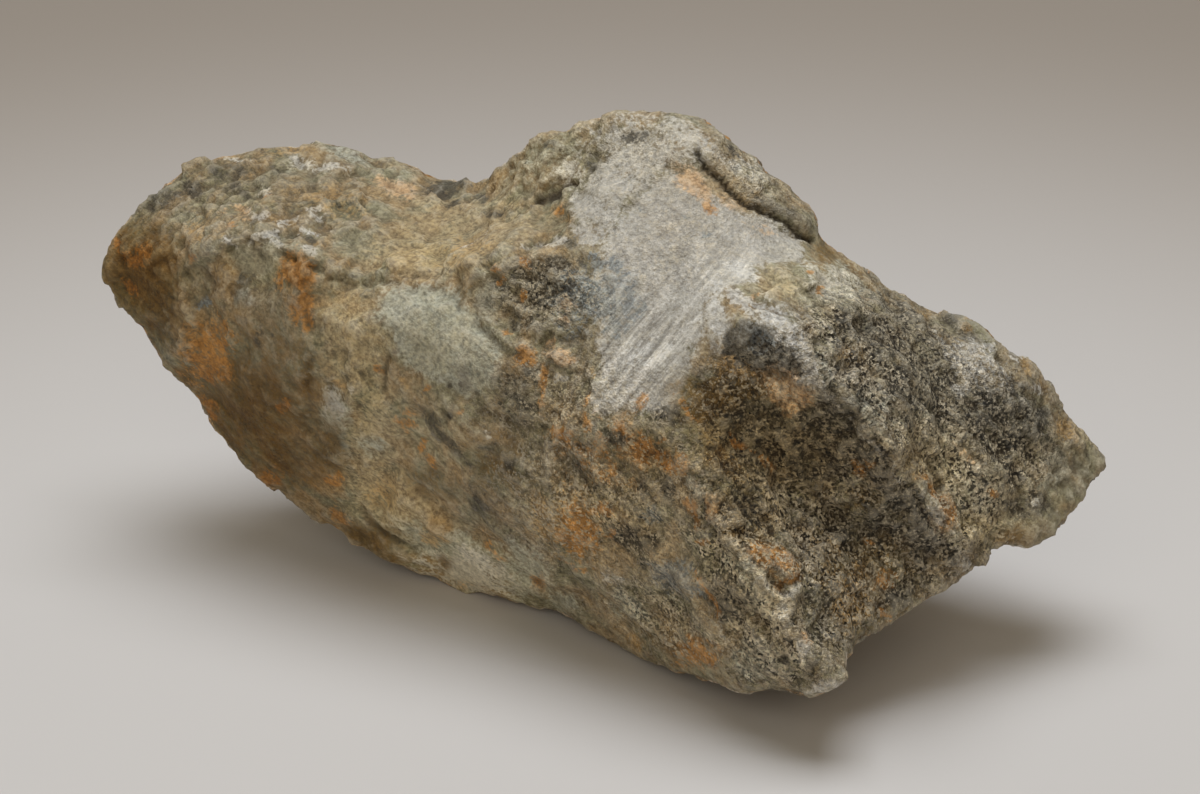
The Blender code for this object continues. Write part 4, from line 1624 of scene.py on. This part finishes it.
@dataclass(frozen=True)
class StoneFinish:
    """The finish of the whole block: its noises, its colours, and how strongly each layer shows.

    A pair of numbers is a strength where there is none of what it depends on, and what a full measure of
    that adds to it.
    """

    # The noises, and how far two of them are drawn out.
    cloud: Pattern = Pattern(60.0, 3.0, 0.55)
    grit: Pattern = Pattern(520.0, 4.0, 0.62, 0.3)
    dust: Pattern = Pattern(1650.0, 1.0, 0.6)
    speck: Pattern = Pattern(1100.0, 2.0, 0.65)
    fibre: Pattern = Pattern(1000.0, 4.0, 0.68, 0.2)
    swirl: Pattern = Pattern(700.0, 4.0, 0.72, 1.2)
    striae: Pattern = Pattern(760.0, 4.0, 0.7, 0.1)
    hue: Pattern = Pattern(120.0, 5.0, 0.6, 0.5)
    runs: Pattern = Pattern(380.0, 3.0, 0.6, 0.2)
    warm_edge: Pattern = Pattern(240.0, 6.0, 0.68, 0.6)
    cold_edge: Pattern = Pattern(330.0, 6.0, 0.70, 0.8)
    fibre_stretch: float = 0.16
    striae_stretch: float = 0.10
    striae_across: tuple[float, float, float] = (-0.77, 0.26, 0.58)
    grain_cells: float = 1900.0
    cells_in_grain: float = 0.32
    grain_in_fine: float = 0.55
    # Where grains gather, and where the stone is calm.
    clump_blend: Blend = Blend(runs=0.5, cold_edge=0.5)
    clump: Rise = Rise(0.5, 5.0, 0.5)
    clump_share: tuple[float, float] = (0.72, 0.42)
    calm: Rise = Rise(0.3, 3.0)

    # The bare stone, with its ochre and green casts.
    ground: tuple[tuple[float, Shade], ...] = (
        (0.1, (76, 69, 56)),
        (0.5, (142, 134, 114)),
        (0.95, (190, 183, 166)),
    )
    ground_blend: Blend = Blend(cloud=0.18, grit=0.26, weave=0.12, fine=0.44)
    ground_contrast: tuple[float, float] = (2.6, 3.6)
    ochre_cast: Shade = (214, 172, 112)
    ochre: Rise = Rise(0.5, 5.0, 0.4)
    ochre_share: tuple[float, float] = (0.6, -0.35)
    green_cast: Shade = (170, 186, 150)
    green: Rise = Rise(0.5, -5.0, 0.3)
    green_share: float = 0.35

    # The minerals, and how their edges are frayed.
    minerals: dict[Mineral, MineralFinish] = field(default_factory=lambda: {
        Mineral.SLATE: MineralFinish((96, 96, 86), (164, 161, 148), 0.8, 2.2, 0.80),
        Mineral.BUFF: MineralFinish((136, 119, 90), (210, 196, 164), 0.8, 1.9, 0.76),
        Mineral.MINT: MineralFinish((120, 122, 110), (200, 201, 188), 0.9, 2.3, 0.82, 0.04),
        Mineral.TALC: MineralFinish((139, 135, 128), (211, 208, 201), 1.1, 2.8, 0.93),
        Mineral.UMBER: MineralFinish((60, 43, 15), (129, 100, 47), 0.9, 1.8, 0.76),
        Mineral.CHARCOAL: MineralFinish((24, 23, 21), (100, 95, 84), 1.2, 2.8, 0.90, 0.05),
        Mineral.BLUE: MineralFinish((50, 58, 64), (156, 163, 166), 1.0, 3.4, 0.80, 0.06),
        Mineral.TAN: MineralFinish((134, 103, 58), (202, 172, 124), 1.0, 2.0, 0.74),
        Mineral.RUST: MineralFinish((116, 77, 30), (203, 151, 87), 1.1, 2.3, 0.83),
        Mineral.PEACH: MineralFinish((166, 130, 92), (224, 194, 158), 1.0, 2.4, 0.82),
        Mineral.FROST: MineralFinish((150, 148, 143), (226, 224, 219), 1.2, 2.8, 0.84, 0.04),
    })
    warm: tuple[Mineral, ...] = (Mineral.RUST, Mineral.PEACH, Mineral.TAN, Mineral.BUFF, Mineral.UMBER)
    mineral_blend: Blend = Blend(grit=0.25, weave=0.2, fine=0.55)
    mineral_contrast: tuple[float, float] = (3.2, 4.5)
    warm_fray: Blend = Blend(warm_edge=0.35, runs=0.24, speck=0.27, grain=0.14)
    cold_fray: Blend = Blend(cold_edge=0.35, runs=0.24, speck=0.27, grain=0.14)
    fray_gain: float = 4.0
    fray_start: float = 2.4

    # Straight hairs.
    pale_streak: Shade = (232, 228, 220)
    pale_streaks: Rise = Rise(0.5, 7.0)
    pale_streak_share: float = 0.8
    dark_streak: Shade = (112, 108, 100)
    dark_streaks: Rise = Rise(0.5, -7.0)
    dark_streak_share: float = 0.7

    # Fine grains.
    dark_grain: Shade = (30, 27, 22)
    dark_grains: Rise = Rise(0.60, 20.0)
    dark_grain_lift: float = 0.065
    dark_grain_share: tuple[float, float] = (0.1, 0.85)
    pale_grain: Shade = (224, 215, 196)
    pale_grains: Rise = Rise(0.40, -20.0)
    pale_grain_lift: float = 0.06
    pale_grain_share: tuple[float, float] = (0.06, 0.66)
    pale_on_charcoal: tuple[float, float] = (1.1, -0.6)
    grain_blend: Blend = Blend(speck=0.1, grain=0.9)
    dark_on_rust: tuple[float, float] = (1.0, -0.6)
    dark_on_frost: tuple[float, float] = (1.0, -0.45)

    # Coarse grains.
    coarse_grain: Shade = (20, 20, 20)
    coarse_cells: float = 1500.0
    coarse_grains: Rise = Rise(0.78, 7.0)
    coarse_in_dark: float = 0.22
    coarse_in_grains: float = 0.08
    coarse_by_grit: float = 0.4
    coarse_by_cell: float = 0.5
    coarse_size: float = 1.15
    coarse_fall: float = 2.2
    coarse_fray: float = 2.0
    coarse_share: float = 1.3

    # Painted shade in hollows and cracks, worn edges and shaded grain.
    hollow_painted_shade: Shade = (58, 46, 28)
    hollow_level: float = 0.58
    hollow_fray: float = 0.5
    hollow_shade_share: float = 0.38
    worn_edge: Shade = (206, 200, 186)
    worn_level: float = 0.40
    worn_fray: float = 0.8
    worn_share: float = 0.28
    wear_gain: float = 2.2
    shade_blend: Blend = Blend(speck=0.35, grain=0.35, weave=0.3)
    shade: Rise = Rise(0.5, 6.0, 0.5)
    shade_dark: Tint = (0.46, 0.44, 0.41, 1.0)
    shade_light: Tint = (1.10, 1.10, 1.10, 1.0)
    shade_share: tuple[float, float] = (0.30, 0.65)
    shade_on_talc: tuple[float, float] = (1.0, -0.5)
    # The painted shade laid in cracks, pits and grooves.
    crack: Shade = (38, 30, 18)
    cracks: Rise = Rise(0.1, 1.0)

    # Mottles, and the washes of grime and painted shade and of bleach and painted light.
    mottle_tint: Tint = (0.50, 0.49, 0.46, 1.0)
    mottle_blend: Blend = Blend(runs=0.6, cold_edge=0.4)
    mottle: Rise = Rise(0.5, -7.0, 0.4)
    mottle_share: tuple[float, float] = (0.06, 0.5)
    grain_tint: Tint = (1.26, 1.25, 1.26, 1.0)
    grime_and_shade_tint: Tint = (0.74, 0.60, 0.36, 1.0)
    bleach_and_light_tint: Tint = (1.50, 1.43, 1.22, 1.0)
    film_fray: Blend = Blend(warm_edge=0.5, speck=0.5)
    film: Rise = Rise(0.5, 1.2)

    # Gloss and fine bumps.
    roughness: float = 0.82
    rough_change: float = 0.3
    talc_level: float = 0.4
    talc_gloss: float = 0.22
    specular: float = 0.35
    bump_mm: float = 0.84
    bump_strength: float = 0.85
    bump_blend: Blend = Blend(grit=0.45, weave=0.35)
    fine_bump_blend: Blend = Blend(speck=0.5, dust=0.4)
    fine_bump_share: tuple[float, float] = (0.45, 1.8)

    def material(self, foliation: Vector) -> bpy.types.Material:
        """The finished material, for layers square to a direction."""
        return StonePaint(self, foliation).material()


class StonePaint:
    """Lays the finish on a material, one layer over the next."""

    def __init__(self, finish: StoneFinish, foliation: Vector) -> None:
        """Starts the material and its noises.

        Args:
            finish: The finish.
            foliation: The direction square to the stone's layers.
        """
        self.finish = finish
        self.bench = Bench("weathered_soapstone")
        self.grains = self.bench.attribute("grains")
        self.talc = self.bench.attribute(Mineral.TALC.value)
        self.noises = self._make_noises(foliation)
        self.colour = self._ground()

    def material(self) -> bpy.types.Material:
        """Lays the layers.

        Returns:
            The material.
        """
        self._minerals()
        self._streaks()
        self._grains()
        self._coarse_grains()
        self._wear()
        self._films()
        self.bench.tree.links.new(self.colour.output, self.bench.shader.inputs["Base Color"])
        self._surface()
        return self.bench.material

    def _make_noises(self, foliation: Vector) -> StoneNoise:
        """Makes the noises that the layers share.

        Args:
            foliation: The direction square to the stone's layers.

        Returns:
            The noises.
        """
        finish, bench = self.finish, self.bench
        places = bench.places()
        fibres_at = bench.stretched(places, foliation, finish.fibre_stretch)
        striae_at = bench.stretched(places, Vector(finish.striae_across).normalized(), finish.striae_stretch)
        dust = bench.noise(places, finish.dust)
        speck = bench.noise(places, finish.speck)
        grain = dust.towards(bench.cells(places, finish.grain_cells)[0], finish.cells_in_grain)
        striae = bench.noise(striae_at, finish.striae)
        calm = self.talc.through(finish.calm)
        hair = bench.noise(places, finish.swirl).towards(striae, bench.attribute("striae"))
        noises = StoneNoise(
            cloud=bench.noise(places, finish.cloud),
            grit=bench.noise(places, finish.grit),
            dust=dust,
            speck=speck,
            grain=grain,
            fine=speck.towards(grain, finish.grain_in_fine),
            weave=bench.noise(fibres_at, finish.fibre).towards(hair, calm),
            striae=striae,
            hue=bench.noise(places, finish.hue),
            runs=bench.noise(fibres_at, finish.runs),
            warm_edge=bench.noise(places, finish.warm_edge),
            cold_edge=bench.noise(places, finish.cold_edge),
            calm=calm,
            pepper=self.grains,
        )
        clump = noises.blend(finish.clump_blend).through(finish.clump)
        noises.pepper = self.grains * ranged(finish.clump_share, clump)
        return noises

    def _lay(self, share: Any, colour: Any, blend: str = "MIX") -> None:
        """Lays a colour over the colour so far.

        Args:
            share: How much of it shows.
            colour: A colour or a socket.
            blend: The way it is mixed.
        """
        self.colour = self.bench.mix(share, self.colour, colour, blend)

    def _contrasted(self, blend: Blend, contrast: tuple[float, float]) -> Socket:
        """A sum of noises with more contrast, most of all where there are grains."""
        gain = ranged(contrast, self.noises.pepper)
        return ((self.noises.blend(blend) - MIDDLE) * gain).clamped(MIDDLE)

    def _ground(self) -> Socket:
        """The colour of the bare stone.

        Returns:
            The colour, with its ochre and green casts.
        """
        finish, bench, noises = self.finish, self.bench, self.noises
        tone = self._contrasted(finish.ground_blend, finish.ground_contrast)
        stops = [(place, linear(*shade)) for place, shade in finish.ground]
        ramp = bench.node("ShaderNodeValToRGB", {"stops": stops}, {"Fac": tone})
        ochre = noises.hue.through(finish.ochre) * ranged(finish.ochre_share, noises.pepper)
        green = noises.hue.through(finish.green) * finish.green_share
        colour = Socket(bench.tree, ramp.outputs["Color"])
        colour = bench.mix(ochre, colour, linear(*finish.ochre_cast), "SOFT_LIGHT")
        return bench.mix(green, colour, linear(*finish.green_cast), "SOFT_LIGHT")

    def _minerals(self) -> None:
        """Lays the minerals over each other, with frayed edges."""
        finish, bench, noises = self.finish, self.bench, self.noises
        inner = self._contrasted(finish.mineral_blend, finish.mineral_contrast)
        warm_fray = noises.blend(finish.warm_fray) - MIDDLE
        cold_fray = noises.blend(finish.cold_fray) - MIDDLE
        for mineral, look in finish.minerals.items():
            fray = warm_fray if mineral in finish.warm else cold_fray
            cover = bench.attribute(mineral.value)
            drift = fray * (look.ragged * finish.fray_gain) * (cover * finish.fray_start).clamped()
            mask = ((cover + (look.spread - MIDDLE) + drift) * look.crisp).clamped(MIDDLE)
            body = bench.mix(inner, linear(*look.dark), linear(*look.light))
            self._lay(mask * look.most, body)

    def _streaks(self) -> None:
        """Draws pale and dark hairs on the talc that has striae."""
        finish, noises = self.finish, self.noises
        streaks = self.bench.attribute("striae") * noises.calm
        pales = streaks * noises.striae.through(finish.pale_streaks)
        darks = streaks * noises.striae.through(finish.dark_streaks)
        self._lay(pales * finish.pale_streak_share, linear(*finish.pale_streak))
        self._lay(darks * finish.dark_streak_share, linear(*finish.dark_streak))

    def _grains(self) -> None:
        """Scatters fine dark and pale grains, fewer on rust and frost."""
        finish, bench, noises = self.finish, self.bench, self.noises
        pepper = noises.pepper
        fine = noises.blend(finish.grain_blend)
        stained = bench.attribute(Mineral.RUST.value).larger(bench.attribute(Mineral.PEACH.value))
        shown = ranged(finish.dark_on_rust, stained)
        shown = shown * ranged(finish.dark_on_frost, bench.attribute(Mineral.FROST.value))
        darks = (fine + pepper * finish.dark_grain_lift).through(finish.dark_grains) * shown
        pales = (fine - pepper * finish.pale_grain_lift).through(finish.pale_grains)
        pales = pales * ranged(finish.pale_on_charcoal, bench.attribute(Mineral.CHARCOAL.value))
        self._lay(darks * ranged(finish.dark_grain_share, pepper), linear(*finish.dark_grain))
        self._lay(pales * ranged(finish.pale_grain_share, pepper), linear(*finish.pale_grain))

    def _coarse_grains(self) -> None:
        """Scatters coarse dark grains, mostly in the dark minerals."""
        finish, bench, noises = self.finish, self.bench, self.noises
        chosen, away = bench.cells(bench.places(), finish.coarse_cells)
        fray = (noises.grain - MIDDLE) * finish.coarse_fray
        core = (finish.coarse_size - away * finish.coarse_fall + fray).clamped()
        dark_place = bench.attribute(Mineral.CHARCOAL.value).larger(bench.attribute(Mineral.BLUE.value))
        likely = dark_place * finish.coarse_in_dark + noises.pepper * finish.coarse_in_grains
        likely = likely + noises.grit * finish.coarse_by_grit + chosen * finish.coarse_by_cell
        coarse = likely.through(finish.coarse_grains) * core
        self._lay(coarse * finish.coarse_share, linear(*finish.coarse_grain))

    def _wear(self) -> None:
        """Paints shade into hollows and grooves, brightens worn edges and shades the grain."""
        finish, bench, noises = self.finish, self.bench, self.noises
        hollow = bench.attribute("hollow")
        shaded_hollows = (hollow - finish.hollow_level) * finish.wear_gain
        shaded_hollows = (shaded_hollows + (noises.grit - MIDDLE) * finish.hollow_fray).clamped()
        worn = (finish.worn_level - hollow) * finish.wear_gain
        worn = (worn + (noises.grain - MIDDLE) * finish.worn_fray).clamped()
        # Painted shade: dark brown laid in the hollows of the relief, where shade falls.
        self._lay(shaded_hollows * finish.hollow_shade_share, linear(*finish.hollow_painted_shade))
        self._lay(worn * finish.worn_share, linear(*finish.worn_edge))
        texture = noises.blend(finish.shade_blend).through(finish.shade)
        shade = bench.mix(texture, finish.shade_dark, finish.shade_light)
        amount = ranged(finish.shade_share, self.grains) * ranged(finish.shade_on_talc, noises.calm)
        self._lay(amount, shade, "MULTIPLY")
        # Painted shade: dark brown laid in the cracks, pits and grooves.
        self._lay(bench.attribute("groove").through(finish.cracks), linear(*finish.crack))

    def _films(self) -> None:
        """Mottles the stone, darkens it with grime and painted shade, and lightens it with bleach and painted
        light.
        """
        finish, bench, noises = self.finish, self.bench, self.noises
        fray = noises.blend(finish.film_fray)
        darkened = (bench.attribute("grime_and_shade") + fray).through(finish.film)
        lightened = (bench.attribute("bleach_and_light") + fray).through(finish.film)
        mottle = noises.blend(finish.mottle_blend).through(finish.mottle)
        self._lay(mottle * ranged(finish.mottle_share, noises.pepper), finish.mottle_tint, "MULTIPLY")
        self._lay(noises.pepper, finish.grain_tint, "MULTIPLY")
        # Painted shade with grime: a brown tint where the darker washes lie.
        self._lay(darkened, finish.grime_and_shade_tint, "MULTIPLY")
        # Painted light with bleach: a pale tint where the lighter washes lie.
        self._lay(lightened, finish.bleach_and_light_tint, "MULTIPLY")

    def _surface(self) -> None:
        """Sets the gloss and the fine bumps."""
        finish, bench, noises = self.finish, self.bench, self.noises
        polish = (self.talc - finish.talc_level).clamped() * finish.talc_gloss
        rough = (finish.roughness + (noises.dust - MIDDLE) * finish.rough_change - polish).clamped()
        fine_bumps = noises.blend(finish.fine_bump_blend) * ranged(finish.fine_bump_share, self.grains)
        bump = bench.node("ShaderNodeBump", {}, {
            "Strength": finish.bump_strength,
            "Distance": finish.bump_mm * MM,
            "Height": noises.blend(finish.bump_blend) + fine_bumps,
        })
        bench.tree.links.new(rough.output, bench.shader.inputs["Roughness"])
        bench.tree.links.new(bump.outputs["Normal"], bench.shader.inputs["Normal"])
        bench.shader.inputs["Specular IOR Level"].default_value = finish.specular


# ---------------------------------------------------------------------------------------------------
# The studio.


@dataclass(frozen=True)
class Lamp:
    """A square soft light.

    Attributes:
        name: Its name.
        place: Where it hangs.
        width: The length of its side.
        power: Its power in watts.
        tint: Its colour.
    """

    name: str
    place: tuple[float, float, float]
    width: float
    power: float
    tint: tuple[float, float, float]


@dataclass
class Studio:
    """A plain pale floor, with a pool of light painted round the block, under soft light.

    Attributes:
        sight: The camera's standpoint.
        lamps: The soft lights.
        look_at: Where they are aimed.
        floor_width: The length of the floor's side.
        floor_parts: How many squares its side has.
        light_pool_middle: The middle of the pool of light painted on it.
        pale: Its colour in that painted pool of light.
        far: Its colour far away, where the painted light has fallen off.
        light_pool_reach: How far the painted pool of light reaches.
        light_falloff_reach: Where the painted light has fallen off to the far colour.
        floor_rough: How rough it is.
        floor_specular: How much it shines.
        sky: The colour of the light from all round.
        sky_strength: How strong that light is.
    """

    sight: Sight = field(default_factory=Sight)
    lamps: tuple[Lamp, ...] = (
        Lamp("softbox", (0.0, 0.03, 0.85), 0.55, 5.9, (0.93, 0.965, 1.0)),
        Lamp("front_fill", (-0.3, -1.6, 0.9), 1.4, 8.0, (1.0, 0.93, 0.80)),
    )
    look_at: tuple[float, float, float] = (0.0, 0.0, 0.04)
    floor_width: float = 6.0
    floor_parts: int = 24
    light_pool_middle: tuple[float, float, float] = (0.0, -0.05, 0.0)
    # The painted pool of light: pale round the block and darker far away, where the light falls off.
    pale: Shade = (203, 200, 199)
    far: Shade = (165, 156, 148)
    light_pool_reach: float = 0.12
    light_falloff_reach: float = 0.46
    floor_rough: float = 0.9
    floor_specular: float = 0.2
    sky: tuple[float, float, float] = (1.0, 0.88, 0.66)
    sky_strength: float = 0.22

    def build(self) -> None:
        """Makes the floor, the lights and the camera."""
        self._floor()
        for lamp in self.lamps:
            self._light(lamp)
        self._sky()
        self.sight.camera()
        bpy.context.scene.view_settings.view_transform = "Standard"

    def _floor(self) -> None:
        """A wide floor, with a pool of light painted round the block that darkens further out."""
        bpy.ops.object.select_all(action="DESELECT")
        bpy.ops.mesh.primitive_grid_add(
            x_subdivisions=self.floor_parts, y_subdivisions=self.floor_parts, size=self.floor_width)
        floor = bpy.context.object
        floor.name = "studio_floor"
        bench = Bench("floor_paper")
        middle = bench.node("ShaderNodeVectorMath", {"operation": "SUBTRACT"},
                            {0: bench.places(), 1: self.light_pool_middle})
        reach = bench.node("ShaderNodeVectorMath", {"operation": "LENGTH"},
                           {0: Socket(bench.tree, middle.outputs[0])})
        away = Socket(bench.tree, reach.outputs["Value"])
        share = bench.node("ShaderNodeMapRange", {"interpolation_type": "SMOOTHSTEP"},
                           {"Value": away, "From Min": self.light_pool_reach, "From Max": self.light_falloff_reach})
        # Painted light: pale in a pool round the block and darker further out, where the light falls off.
        colour = bench.mix(Socket(bench.tree, share.outputs["Result"]), linear(*self.pale), linear(*self.far))
        bench.tree.links.new(colour.output, bench.shader.inputs["Base Color"])
        bench.shader.inputs["Roughness"].default_value = self.floor_rough
        bench.shader.inputs["Specular IOR Level"].default_value = self.floor_specular
        floor.data.materials.append(bench.material)
        floor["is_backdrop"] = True

    def _light(self, lamp: Lamp) -> None:
        """Hangs a soft light that looks at the block.

        Args:
            lamp: The light.
        """
        data = bpy.data.lights.new(lamp.name, "AREA")
        data.color = lamp.tint
        data.shape = "SQUARE"
        data.size = lamp.width
        data.energy = lamp.power
        hung = bpy.data.objects.new(lamp.name, data)
        hung.location = lamp.place
        hung.rotation_mode = "QUATERNION"
        hung.rotation_quaternion = (Vector(self.look_at) - Vector(lamp.place)).to_track_quat("-Z", "Y")
        bpy.context.scene.collection.objects.link(hung)

    def _sky(self) -> None:
        """Even light from all round."""
        world = bpy.data.worlds.new("studio_air")
        world.use_nodes = True
        background = world.node_tree.nodes["Background"]
        background.inputs["Color"].default_value = (*self.sky, 1.0)
        background.inputs["Strength"].default_value = self.sky_strength
        bpy.context.scene.world = world


def write_sizes() -> None:
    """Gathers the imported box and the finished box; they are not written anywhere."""
    boxes = {"cad": CAD_BOX, "visual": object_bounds()}
    {name: [list(corner) for corner in box] for name, box in boxes.items()}


def main() -> None:
    """Builds the skin and the studio, and reports each."""
    logging.basicConfig(level=logging.INFO, format="%(message)s")
    skin_maker = StoneSkin()
    skin = skin_maker.build()
    skin.data.materials.clear()
    skin.data.materials.append(StoneFinish().material(skin_maker.foliation))
    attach(skin, "root")
    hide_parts("soapstone")
    skin.data.calc_loop_triangles()
    points, triangles = len(skin.data.vertices), len(skin.data.loop_triangles)
    LOG.info("soapstone_skin: %d points, %d triangles", points, triangles)
    Studio().build()
    LOG.info("studio: floor, softbox, front fill, camera")
    write_sizes()


if __name__ == "__main__":
    main()
